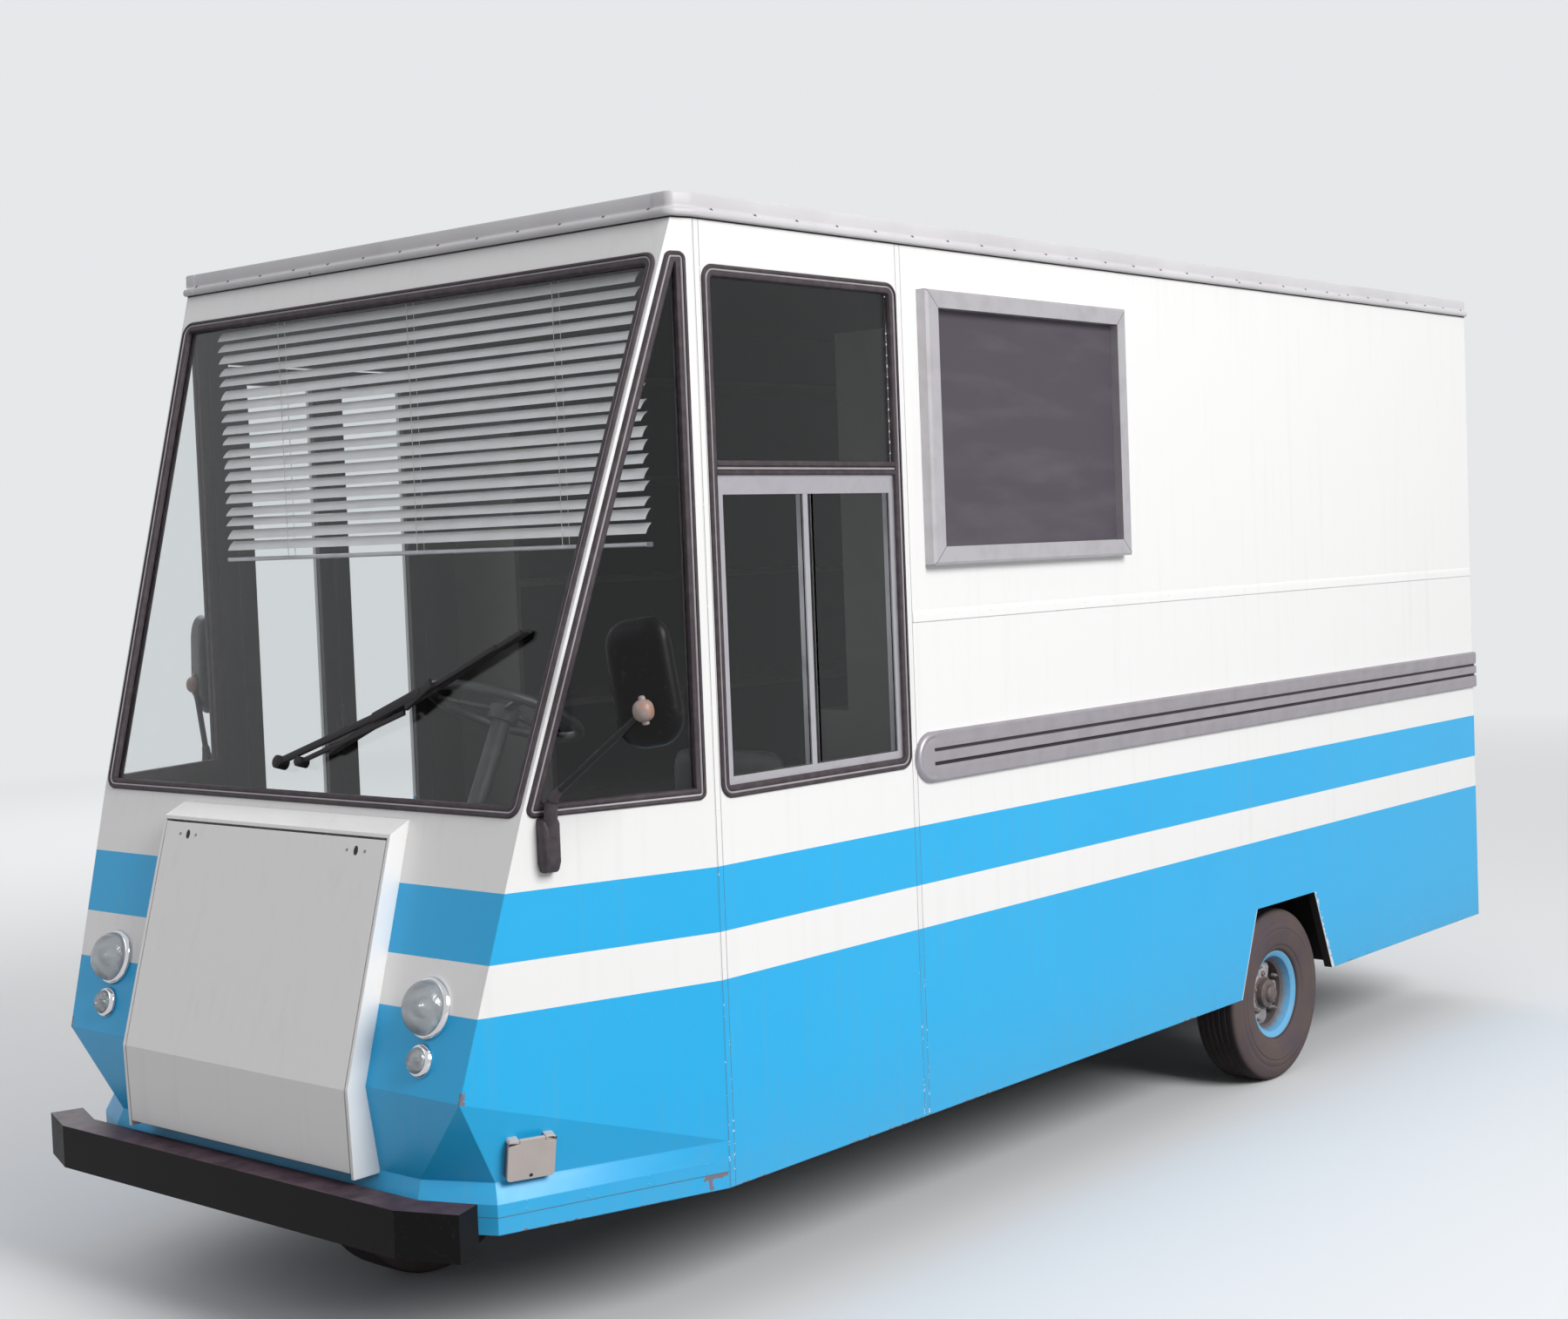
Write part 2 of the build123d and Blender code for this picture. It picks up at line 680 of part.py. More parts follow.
def roof_trim():
    """Rail round the roof edge, with a bead along its lower edge."""
    face = make_face(Polyline(*roof_outline(), close=True))
    band = offset(face, amount=TRIM_BAND, kind=Kind.INTERSECTION)
    bead = offset(face, amount=TRIM_BEAD, kind=Kind.INTERSECTION)
    low = LIP_Z + TRIM_UP
    trim = Pos(0, 0, low) * extrude(band, ROOF_TOP - low)
    trim += Pos(0, 0, low) * extrude(bead, TRIM_BEAD_H)
    return trim - Pos(0, 0, low - 1) * extrude(face, ROOF_THICK)


def glazing(outline, radius, plane, seal=SEAL):
    """Pane seated halfway into its seal."""
    return rounded(outline, radius, plane, -GLASS_DEPTH - GLASS, -GLASS_DEPTH, seal / 2)


def windscreen_glass():
    return glazing(SCREEN_OUTLINE, CORNER_R, SCREEN)


def side_window_parts():
    """Inner edges of the side window: front, rear, bottom, top, bar bottom and bar top."""
    front = SIDE_WINDOW_OUTLINE[0][0] + SEAL
    rear = SIDE_WINDOW_OUTLINE[1][0] - SEAL
    bottom, top = SIDE_WINDOW_BOTTOM_Z + SEAL, SIDE_WINDOW_TOP_Z - SEAL
    return front, rear, bottom, top, BAR_Z - BAR_H / 2, BAR_Z + BAR_H / 2


def window_room():
    """Space inside the side window's seal."""
    return rounded(SIDE_WINDOW_OUTLINE, CORNER_R, SIDE, -WALL, WALL, SEAL)


def side_glass():
    """Quarter panes, the fixed upper side pane and the two sliding panes."""
    front, rear, bottom, top, bar_low, bar_high = side_window_parts()
    quarter = glazing(QUARTER_OUTLINE, CORNER_R / 2, CHEEK)
    outer = HALF_W - GLASS_DEPTH
    upper = box((outer - GLASS, outer), (front, rear), (bar_high, top))
    low, high = bottom + SLIDE_FRAME, bar_low - SLIDE_FRAME
    stile = SEAM_Y - STILE_Y
    upper &= window_room()
    ahead = box((outer - GLASS, outer), (front + SLIDE_FRAME, stile - STILE_W / 2), (low, high))
    behind = box((outer - GLASS, outer), (stile + STILE_W / 2, rear - SLIDE_FRAME), (low, high))
    return both(quarter) + upper + ahead + behind


def side_window_frame():
    """Bar across the side window and the aluminium frame of the sliding panes."""
    front, rear, bottom, _, bar_low, bar_high = side_window_parts()
    outer = HALF_W - GLASS_DEPTH / 2
    depth = (outer - SLIDE_DEPTH, outer)
    frame = box(depth, (front, rear), (bottom, bar_high))
    stile = SEAM_Y - STILE_Y
    low, high = bottom + SLIDE_FRAME, bar_low - SLIDE_FRAME
    through = (depth[0] - 1, depth[1] + 1)
    frame -= box(through, (front + SLIDE_FRAME, stile - STILE_W / 2), (low, high))
    frame -= box(through, (stile + STILE_W / 2, rear - SLIDE_FRAME), (low, high))
    return frame & window_room()


def seal_ring(outline, radius, plane, back):
    ring = rounded(outline, radius, plane, -back, SEAL_PROUD)
    return ring - rounded(outline, radius, plane, -back - 1, SEAL_PROUD + 1, SEAL)


def window_seals():
    """Rubber rings of the windscreen, quarter windows and side window."""
    screen = seal_ring(SCREEN_OUTLINE, CORNER_R, SCREEN, SHELL) - windscreen_glass()
    quarter = seal_ring(QUARTER_OUTLINE, CORNER_R / 2, CHEEK, SHELL)
    quarter -= glazing(QUARTER_OUTLINE, CORNER_R / 2, CHEEK)
    side = seal_ring(SIDE_WINDOW_OUTLINE, CORNER_R, SIDE, WALL)
    return screen + both(quarter) + side


def door_leaf(front):
    """Leaf with stiles, a closed lower panel and a window opening, without its glass."""
    if front:
        span = (DOOR_FRONT_Y + DOOR_GAP, DOOR_MID_Y - DOOR_GAP / 2)
    else:
        span = (DOOR_MID_Y + DOOR_GAP / 2, DOOR_REAR_Y - DOOR_GAP)
    heights = (DOOR_BOTTOM_Z + DOOR_GAP, DOOR_TOP_Z - DOOR_GAP)
    leaf = box((LEAF_OUT_X, LEAF_IN_X), span, heights)
    hole = (span[0] + DOOR_STILE, span[1] - DOOR_STILE)
    leaf -= box((LEAF_OUT_X - 1, LEAF_IN_X + 1), hole, (DOOR_GLASS_Z, heights[1] - DOOR_STILE))
    inside = (LEAF_IN_X, LEAF_IN_X + DOOR_PLATE)
    for z in DOOR_HINGE_Z:
        if front:
            leaf += knuckle(DOOR_AXIS_MID, inside, (span[1] - DOOR_PLATE_W, span[1]), z)
        else:
            outside = (LEAF_OUT_X - DOOR_PLATE, LEAF_OUT_X)
            leaf += knuckle(DOOR_AXIS_REAR, outside, (span[1] - DOOR_PLATE_W, span[1]), z)
            for end in (-1, 1):
                plate = (span[0], span[0] + DOOR_PLATE_W)
                leaf += knuckle(DOOR_AXIS_MID, inside, plate, z + end * DOOR_KNUCKLE)
    return leaf


def door_glass(front):
    if front:
        span = (DOOR_FRONT_Y + DOOR_GAP + DOOR_STILE, DOOR_MID_Y - DOOR_GAP / 2 - DOOR_STILE)
    else:
        span = (DOOR_MID_Y + DOOR_GAP / 2 + DOOR_STILE, DOOR_REAR_Y - DOOR_GAP - DOOR_STILE)
    middle = (LEAF_OUT_X + LEAF_IN_X) / 2
    top = DOOR_TOP_Z - DOOR_GAP - DOOR_STILE
    return box((middle - GLASS / 2, middle + GLASS / 2), span, (DOOR_GLASS_Z, top))


def side_mouldings():
    """Ribbed rubbing strip along each side of the box, rounded at its front end."""
    low, high = MOULDING_Z
    radius = (high - low) / 2
    middle = (low + high) / 2
    strip = box((HALF_W, HALF_W + MOULDING_PROUD), (SEAM_Y + radius, REAR_Y), (low, high))
    nose = Pos(HALF_W + MOULDING_PROUD / 2, SEAM_Y + radius, middle) * Rot(0, 90, 0)
    strip += nose * Cylinder(radius, MOULDING_PROUD)
    for z in MOULDING_GROOVES:
        half = MOULDING_GROOVE_H / 2
        floor = HALF_W + MOULDING_PROUD / 2
        along = (SEAM_Y + 2 * radius, REAR_Y + 1)
        strip -= box((floor, HALF_W + 2 * MOULDING_PROUD), along, (z - half, z + half))
    return both(strip)


def front_guard_plan(inset):
    """Outline of the front bumper seen from above: its ends are bent back, and inset thins it."""
    bend = Vector(FRONT_GUARD_BEND_X, FRONT_Y)
    end = bend + Vector(*FRONT_GUARD_END)
    run = (end - bend).normalized()
    inward = Vector(-run.Y, run.X)
    half_turn = math.tan(math.atan2(run.Y, run.X) / 2)
    right = []
    for depth in (inset, FRONT_GUARD_DEPTH - inset):
        corner = (bend.X - depth * half_turn, bend.Y + depth)
        tip = end + inward * depth - run * inset
        right.append([corner, (tip.X, tip.Y)])
    outline = right[0] + right[1][::-1]
    return outline + [(-x, y) for x, y in outline[::-1]]


def bumpers():
    """Front box bumper on two brackets, and the straight rear channel."""
    low, high = FRONT_GUARD_Z
    wall = GUARD_WALL
    front = prism(front_guard_plan(0), Plane.XY, low, high)
    front -= prism(front_guard_plan(wall), Plane.XY, low - 1, high - wall)
    back = KINK_Y + BAND_LOW_PLAN[0][1]
    front += both(box(GUARD_BRACKET_X, (FRONT_Y + FRONT_GUARD_DEPTH - wall, back), GUARD_BRACKET_Z))
    reach = HALF_W - REAR_GUARD_SHORT
    low, high = REAR_GUARD_Z
    rear = box((-reach, reach), (REAR_Y, REAR_Y + REAR_GUARD_PROUD), (low, high))
    gutter = (REAR_Y - 1, REAR_Y + REAR_GUARD_PROUD - wall)
    rear -= box((-reach - 1, reach + 1), gutter, (low + wall, high - wall))
    return front + rear


def lamp(z, radius, height):
    """Chromed collar with a domed front, seated on the nose."""
    rise = height - LAMP_COLLAR
    sphere_r = (radius ** 2 + rise ** 2) / (2 * rise)
    half_angle = math.asin(radius / sphere_r) / 2
    middle = (sphere_r * math.sin(half_angle), height - sphere_r * (1 - math.cos(half_angle)))
    outline = Polyline((0, height), (0, 0), (radius, 0), (radius, LAMP_COLLAR))
    outline += ThreePointArc((radius, LAMP_COLLAR), middle, (0, height))
    body = revolve(Plane.XZ * make_face(outline), axis=Axis.Z)
    return NOSE * Pos(LAMP_X, (z - KINK_Z) * math.hypot(1, NOSE_SLOPE), 0) * body


def tail_lamp():
    """Lamp block low on the rear wall."""
    x = (HALF_W - TAIL_LAMP_INSET - TAIL_LAMP_W, HALF_W - TAIL_LAMP_INSET)
    block = box(x, (REAR_Y, REAR_Y + TAIL_LAMP_PROUD), TAIL_LAMP_Z)
    return fillet(block.edges().filter_by(Axis.Y), TAIL_LAMP_ROUND)


def lamps():
    return both(lamp(*HEADLAMP)) + both(lamp(*INDICATOR)) + both(tail_lamp())


def mirror_set(foot_y, head_y):
    """Foot, bent arm and turned head of a mirror on the driver's side."""
    u = (foot_y - BEND_Y) * CHEEK_STRETCH
    half = MIRROR_FOOT_W / 2
    low, high = MIRROR_FOOT_Z
    outline = [(u - half, low), (u + half, low), (u + half, high), (u - half, high)]
    foot = rounded(outline, half / 2, CHEEK, 0, MIRROR_FOOT_THICK)
    root = spot(CHEEK, u, high - half, MIRROR_ROOT)
    elbow = Vector(root.X + MIRROR_ARM_R, root.Y, high + MIRROR_ELBOW_UP)
    turn, lean = MIRROR_TURN, MIRROR_LEAN
    across = (math.cos(turn) * math.cos(lean), math.sin(turn) * math.cos(lean), math.sin(lean))
    out = (math.sin(turn), -math.cos(turn), 0)
    plate = Plane(origin=(HALF_W + MIRROR_HEAD_OUT, head_y, MIRROR_HEAD_Z), x_dir=across, z_dir=out)
    grip = spot(plate, 0, -MIRROR_GRIP_DOWN, MIRROR_HEAD_THICK)
    arm = rod(root, elbow, MIRROR_ARM_R) + Pos(elbow) * Sphere(MIRROR_ARM_R)
    arm += rod(elbow, grip, MIRROR_ARM_R) + Pos(grip) * Sphere(MIRROR_BALL_R)
    wide, tall = MIRROR_HEAD_W / 2, MIRROR_HEAD_H / 2
    outline = [(-wide, -tall), (wide, -tall), (wide, tall), (-wide, tall)]
    return foot + arm + rounded(outline, MIRROR_HEAD_ROUND, plate, 0, MIRROR_HEAD_THICK)


def mirrors():
    left = mirror_set(KINK_Y + MIRROR_LEFT_BACK, KINK_Y + MIRROR_LEFT_HEAD_BACK)
    right = mirror_set(BEND_Y - MIRROR_RIGHT_AHEAD, BEND_Y + MIRROR_RIGHT_HEAD_BEHIND)
    return left + swap(right)


def wiper_bar(start, end, bottom, width, height):
    """Straight bar that lies over the windscreen's plane between two places on it."""
    turn = math.degrees(math.atan2(end[1] - start[1], end[0] - start[0]))
    bar = Box(math.dist(start, end), width, height, align=(Align.MIN, Align.CENTER, Align.MIN))
    return SCREEN * Pos(*start, bottom) * Rot(0, 0, turn) * bar


def wiper():
    """Single arm on its spindle, with the blade across the windscreen."""
    radius, top = WIPER_BOSS
    boss = rod(spot(SCREEN, *WIPER_PIVOT, -GLASS_DEPTH), spot(SCREEN, *WIPER_PIVOT, top), radius)
    grip = [heel + WIPER_GRIP * (tip - heel) for heel, tip in zip(WIPER_HEEL, WIPER_TIP)]
    arm = wiper_bar(WIPER_PIVOT, grip, WIPER_LIFT - WIPER_ARM[1], *WIPER_ARM)
    blade = wiper_bar(WIPER_HEEL, WIPER_TIP, FIT - GLASS_DEPTH, *WIPER_BLADE)
    return boss + arm + blade


def blind():
    """Head rail, tilted slats and bottom rail."""
    low, high = BLIND_Z
    half = BLIND_RAIL / 2
    y = nose_y(high) + SHELL * SCREEN_STRETCH + half + BLIND_PLAY
    whole = box((-BLIND_HALF_W, BLIND_HALF_W), (y - half, y + half), (high - BLIND_RAIL, high))
    foot = low + BLIND_FOOT
    whole += box((-BLIND_HALF_W, BLIND_HALF_W), (y - BLIND_FOOT, y + BLIND_FOOT), (low, foot))
    pitch = (high - BLIND_RAIL - foot) / (BLIND_SLATS + 1)
    slat = Rot(SLAT_TILT, 0, 0) * Box(2 * BLIND_HALF_W, SLAT_W, SLAT_THICK)
    for i in range(BLIND_SLATS):
        whole += Pos(0, y, foot + pitch * (i + 1)) * slat
    cord = BLIND_CORD / 2
    for x in (-BLIND_CORD_X, 0, BLIND_CORD_X):
        whole += box((x - cord, x + cord), (y - cord, y + cord), (low, high))
    return whole


def board_frame():
    """Mitred aluminium frame of the price board."""
    y = (SEAM_Y + BOARD_Y[0], SEAM_Y + BOARD_Y[1])
    frame = box((HALF_W, HALF_W + BOARD_PROUD), y, BOARD_Z)
    frame = chamfer(frame.faces().sort_by(Axis.X)[-1].edges(), BOARD_BEVEL)
    inner_y = (y[0] + BOARD_FRAME, y[1] - BOARD_FRAME)
    inner_z = (BOARD_Z[0] + BOARD_FRAME, BOARD_Z[1] - BOARD_FRAME)
    return frame - box((HALF_W - 1, HALF_W + 2 * BOARD_PROUD), inner_y, inner_z)


def board_slate():
    """Dark writing surface inside the frame."""
    y = (SEAM_Y + BOARD_Y[0] + BOARD_FRAME, SEAM_Y + BOARD_Y[1] - BOARD_FRAME)
    z = (BOARD_Z[0] + BOARD_FRAME, BOARD_Z[1] - BOARD_FRAME)
    return box((HALF_W, HALF_W + BOARD_PROUD - BOARD_SINK), y, z)


def tuck_plane():
    """Plane of the tucked-in side under the kink line, with its own Y pointing up the face."""
    kink = Vector(cheek_x(KINK_Y), KINK_Y, KINK_Z)
    outer = Vector(BAND_TOP_PLAN[1][0], KINK_Y + BAND_TOP_PLAN[1][1], BAND_TOP_Z)
    bend = Vector(HALF_W, BEND_Y, BAND_TOP_Z)
    normal = (outer - kink).cross(bend - kink).normalized()
    along = (bend - outer).normalized()
    return Plane(origin=outer, x_dir=along, z_dir=normal)


TUCK = tuck_plane()


def charge_place(x, y, z):
    """A place on the charging box, from the middle of its foot."""
    return TUCK * Pos(CHARGE_ALONG + x, CHARGE_UP + y, z)


CHARGE_HINGE_UP = CHARGE_H / 2 + CHARGE_KNUCKLE_R
CHARGE_HINGE_OUT = CHARGE_PROUD + CHARGE_GAP + CHARGE_LID / 2


def charge_hinge():
    """Point on the lid's hinge line, and the direction about which it opens."""
    return spot(TUCK, CHARGE_ALONG, CHARGE_UP + CHARGE_HINGE_UP, CHARGE_HINGE_OUT), -TUCK.x_dir


def charge_socket():
    """Middle of the socket's bore and the direction out of its mouth."""
    return spot(TUCK, CHARGE_ALONG, CHARGE_UP, CHARGE_PROUD - CHARGE_SOCKET_DEPTH / 2), TUCK.z_dir


def charge_inlet():
    """Shallow box round the charging socket, with the two outer hinge barrels."""
    body = charge_place(0, 0, CHARGE_PROUD / 2) * Box(CHARGE_W, CHARGE_H, CHARGE_PROUD)
    hole = charge_place(0, 0, CHARGE_PROUD - CHARGE_SOCKET_DEPTH)
    body -= hole * Cylinder(CHARGE_SOCKET_R, CHARGE_SOCKET_DEPTH + 1, align=BASE)
    for end in (-1, 1):
        x = end * (CHARGE_W - CHARGE_BARREL) / 2
        lug = charge_place(x, CHARGE_HINGE_UP, CHARGE_HINGE_OUT / 2)
        body += lug * Box(CHARGE_BARREL, 2 * CHARGE_KNUCKLE_R, CHARGE_HINGE_OUT)
        barrel = charge_place(x, CHARGE_HINGE_UP, CHARGE_HINGE_OUT) * Rot(0, 90, 0)
        body += barrel * Cylinder(CHARGE_KNUCKLE_R, CHARGE_BARREL)
    return body


def charge_flap():
    """Lid over the socket, with the middle hinge barrel at its top edge."""
    middle = CHARGE_PROUD + CHARGE_GAP + CHARGE_LID / 2
    lid = charge_place(0, 0, middle) * Box(CHARGE_W, CHARGE_H, CHARGE_LID)
    reach = CHARGE_W - 2 * CHARGE_BARREL - 2 * CHARGE_GAP
    barrel = charge_place(0, CHARGE_HINGE_UP, CHARGE_HINGE_OUT) * Rot(0, 90, 0)
    lid += barrel * Cylinder(CHARGE_KNUCKLE_R, reach)
    lug = charge_place(0, CHARGE_HINGE_UP - CHARGE_KNUCKLE_R / 2, middle)
    return lid + lug * Box(reach, CHARGE_KNUCKLE_R, CHARGE_LID)


def tyre(x, y):
    """Tyre revolved about its axle, with flat tread, shoulders and bulged walls."""
    wide = TYRE_W / 2
    seat = RIM_HALF - RIM_FLANGE
    right = [
        (seat, FLANGE_R - RIM_LIP),
        (seat, FLANGE_R),
        (wide, FLANGE_R + TYRE_BULGE_UP),
        (wide - TYRE_SHOULDER[0], TYRE_R - TYRE_SHOULDER[1]),
        (TYRE_TREAD_W / 2, TYRE_R),
    ]
    outline = right + [(-across, radius) for across, radius in reversed(right)]
    return Pos(x, y, AXLE_Z) * revolve(make_face(Polyline(*outline, close=True)), axis=Axis.X)


def rim(x, y, outward=True, closed=True):
    """Steel rim with a dished disc, nuts and a hub bored for its axle, closed outside by a cap."""
    seat = FLANGE_R - RIM_LIP
    barrel = BEAD_R - RIM_LIP
    well = BEAD_R - RIM_WELL
    right = [
        (RIM_HALF - RIM_FLANGE, seat),
        (RIM_HALF - RIM_FLANGE, FLANGE_R),
        (RIM_HALF, FLANGE_R),
        (RIM_HALF, barrel),
        (RIM_WELL_HALF + RIM_LIP, barrel),
        (RIM_WELL_HALF, well),
    ]
    outline = right + [(-across, radius) for across, radius in reversed(right)]
    ring = revolve(make_face(Polyline(*outline, close=True)), axis=Axis.X)
    front, back = DISC_FACE, DISC_FACE - DISC_THICK
    foot = well + RIM_LIP / 4
    crown = HUB_R + DISC_CROWN
    dish = [
        (back - DISC_DISH, foot),
        (front - DISC_DISH, foot),
        (front, crown),
        (front, HUB_R - DISC_THICK / 2),
        (back, HUB_R - DISC_THICK / 2),
        (back, crown),
    ]
    disc = revolve(make_face(Polyline(*dish, close=True)), axis=Axis.X)
    wheel = ring + disc + rod((HUB_SPAN[0], 0, 0), (HUB_SPAN[1], 0, 0), HUB_R)
    for i in range(WHEEL_NUTS):
        angle = 360 / WHEEL_NUTS * i
        nut = Rot(angle, 0, 0) * Pos(front, 0, NUT_CIRCLE_R) * Rot(0, 90, 0)
        wheel += nut * Cylinder(NUT_R, 2 * NUT_H)
        slot = Rot(angle + 180 / WHEEL_NUTS, 0, 0) * Pos(back, 0, NUT_CIRCLE_R + SLOT_UP) * Rot(0, 90, 0)
        wheel -= slot * Cylinder(SLOT_R, 6 * DISC_THICK)
    bore_end = HUB_SPAN[1] - HUB_CAP if closed else HUB_SPAN[1] + 1
    wheel -= rod((HUB_SPAN[0] - 1, 0, 0), (bore_end, 0, 0), STUB_R + STUB_PLAY)
    if not outward:
        wheel = mirror(wheel, about=Plane.YZ)
    return Pos(x, y, AXLE_Z) * wheel


SPRING_TOP = AXLE_Z + AXLE_R + SPRING_SEAT + SPRING_LEAVES * SPRING_LEAF


def separate(pieces):
    """Pieces that touch but stay solids of their own."""
    return Compound([solid for piece in pieces for solid in piece.solids()])


def bridge():
    """Ring over the front wheel that guides the fork's spindle, on posts from the rails."""
    low = CROWN_Z + CROWN_THICK + RING_PLAY
    high = low + RING_THICK
    arm_x = RAIL_X + RAIL_W / 2
    ring = Pos(0, FRONT_AXLE_Y, low) * Cylinder(RING_R, RING_THICK, align=BASE)
    ring += box((-arm_x, arm_x), (FRONT_AXLE_Y - BRIDGE_W / 2, FRONT_AXLE_Y + BRIDGE_W / 2), (low, high))
    thick, half = BRIDGE_POST
    along = (FRONT_AXLE_Y - half, FRONT_AXLE_Y + half)
    post = box((arm_x - thick, arm_x), along, (FLOOR_Z - FLOOR_THICK, high))
    bore = Pos(0, FRONT_AXLE_Y, low - 1) * Cylinder(SPINDLE_R + RING_PLAY, RING_THICK + 2, align=BASE)
    return ring + both(post) - bore


def chassis_frame():
    """Two channel rails with cross members, outriggers, spring hangers and the front bridge."""
    top = FLOOR_Z - FLOOR_THICK
    low = top - RAIL_H
    y = (RAIL_FRONT_Y, REAR_Y - WALL)
    outside = RAIL_X + RAIL_W / 2
    web = outside - RAIL_WALL
    rail = box((outside - RAIL_W, outside), y, (low, top))
    rail -= box((outside - RAIL_W - 1, web), (y[0] - 1, y[1] + 1), (low + RAIL_WALL, top - RAIL_WALL))
    pieces = [both(rail), bridge()]
    for start in CROSS_Y:
        pieces.append(box((-web, web), (start, start + RAIL_W), (low + RAIL_WALL, top - RAIL_WALL)))
    for start in OUTRIGGER_Y:
        pieces.append(both(box((outside, HALF_W - WALL), (start, start + RAIL_WALL), (BATTERY_Z[1], top))))
    for end in (-1, 1):
        place = REAR_AXLE_Y + end * SPRING_HALF
        thick, half = HANGER
        across, along = (RAIL_X - thick, RAIL_X + thick), (place - half, place + half)
        pieces.append(both(box(across, along, (SPRING_TOP, low))))
    return separate(pieces)


def rear_axle():
    """Dead axle tube with its stubs and the two leaf springs clamped on top."""
    inner = REAR_WHEEL_X - RIM_HALF - BEAM_INSET
    beam = rod((-inner, REAR_AXLE_Y, AXLE_Z), (inner, REAR_AXLE_Y, AXLE_Z), AXLE_R)
    tip = REAR_WHEEL_X + HUB_SPAN[1] - HUB_CAP - STUB_END
    beam += rod((-tip, REAR_AXLE_Y, AXLE_Z), (tip, REAR_AXLE_Y, AXLE_Z), STUB_R)
    pad_top = AXLE_Z + AXLE_R + SPRING_SEAT
    across = (RAIL_X - SPRING_W / 2, RAIL_X + SPRING_W / 2)
    springs = box(across, (REAR_AXLE_Y - SPRING_PAD, REAR_AXLE_Y + SPRING_PAD), (AXLE_Z, pad_top))
    for i in range(SPRING_LEAVES):
        half = SPRING_HALF * (1 - SPRING_STEP * i) + SPRING_EYE
        z = pad_top + (SPRING_LEAVES - 1 - i) * SPRING_LEAF
        springs += box(across, (REAR_AXLE_Y - half, REAR_AXLE_Y + half), (z, z + SPRING_LEAF))
    return beam + both(springs)


def battery_block():
    """Traction battery in two trays outside the rails."""
    return both(box(BATTERY_X, BATTERY_Y, BATTERY_Z))


def drive_cover():
    """Housing over the front drive unit, open to the bonnet and standing on the floor."""
    inside = nose_core(SHELL + FIT, BAND_TOP_Z, TUNNEL_TOP_Z, BEND_Y)
    back = KINK_Y + TUNNEL_BACK
    half = TUNNEL_HALF_W
    wall = TUNNEL_WALL
    cover = box((-half, half), (KINK_Y, back), (FLOOR_Z, TUNNEL_TOP_Z))
    cover &= inside + box((-half, half), (BEND_Y - 1, back + 1), (FLOOR_Z, TUNNEL_TOP_Z))
    room = half - wall
    return cover - box((-room, room), (KINK_Y - 1, back - wall), (FLOOR_Z - 1, TUNNEL_TOP_Z - wall))


def wheel_box():
    """Housing round the left rear wheel, open below and towards the side, in two parts at the floor."""
    inner = REAR_WHEEL_X - TYRE_W / 2 - WHEEL_BOX_CLEAR
    reach = HALF_W - WALL
    half = ARCH_BOTTOM_HALF + WHEEL_BOX_LONG
    top = ARCH_TOP_Z + WHEEL_BOX_UP
    wall = WHEEL_BOX_WALL
    room = (REAR_AXLE_Y - half + wall, REAR_AXLE_Y + half - wall)
    parts = []
    for low, high, lid in ((FLOOR_Z, top, wall), (WHEEL_LINER_Z, FLOOR_Z - FLOOR_THICK, -1)):
        shell = box((inner, reach), (REAR_AXLE_Y - half, REAR_AXLE_Y + half), (low, high))
        parts.append(shell - box((inner + wall, reach + 1), room, (low - 1, high - lid)))
    return parts


def floor_pan():
    """Floor sheet with the step well, drive cover, rear wheel boxes and the sheet along the aisle."""
    span = (FLOOR_Z - FLOOR_THICK, FLOOR_Z)
    cut = (span[0] - 1, span[1] + 1)
    reach = HALF_W - WALL
    floor = box((-reach, reach), (BEND_Y, REAR_Y - WALL), span)
    inside = nose_core(SHELL + FIT, BAND_TOP_Z, TUNNEL_TOP_Z, BEND_Y)
    floor += inside & box((-HALF_W, HALF_W), (KINK_Y, BEND_Y), span)
    floor -= box((-HALF_W, STEP_IN_X), (DOOR_FRONT_Y, DOOR_REAR_Y), cut)
    room = TUNNEL_HALF_W - TUNNEL_WALL
    floor -= box((-room, room), (KINK_Y - 1, KINK_Y + TUNNEL_BACK - TUNNEL_WALL), cut)
    well = REAR_WHEEL_X - TYRE_W / 2 - WHEEL_BOX_CLEAR + WHEEL_BOX_WALL
    half = ARCH_BOTTOM_HALF + WHEEL_BOX_LONG - WHEEL_BOX_WALL
    floor -= both(box((well, reach + 1), (REAR_AXLE_Y - half, REAR_AXLE_Y + half), cut))
    aisle = reach - RACK_DEPTH - AISLE_CLEAR
    sheet = box((-aisle, aisle), (SEAM_Y, REAR_Y - WALL - AISLE_CLEAR), (FLOOR_Z, FLOOR_Z + AISLE_SHEET))
    return separate([floor + sheet, drive_cover(), *[both(part) for part in wheel_box()]])


SPINDLE_TOP = CROWN_Z + CROWN_THICK + RING_THICK + 2 * RING_PLAY


def steer_fork():
    """Fork that carries the front wheel and turns under the bridge ring."""
    crown = Pos(0, FRONT_AXLE_Y, CROWN_Z + CROWN_THICK / 2) * Cylinder(CROWN_R, CROWN_THICK)
    inner = TYRE_W / 2 + LEG_GAP
    half = LEG_W / 2
    along = (FRONT_AXLE_Y - half, FRONT_AXLE_Y + half)
    leg = box((inner, inner + LEG_THICK), along, (AXLE_Z, CROWN_Z + CROWN_THICK / 2))
    leg += Pos(inner + LEG_THICK / 2, FRONT_AXLE_Y, AXLE_Z) * Rot(0, 90, 0) * Cylinder(half, LEG_THICK)
    spindle = rod((0, FRONT_AXLE_Y, CROWN_Z), (0, FRONT_AXLE_Y, SPINDLE_TOP), SPINDLE_R)
    reach = inner + LEG_THICK
    pin = rod((-reach, FRONT_AXLE_Y, AXLE_Z), (reach, FRONT_AXLE_Y, AXLE_Z), STUB_R)
    return crown + both(leg) + spindle + pin


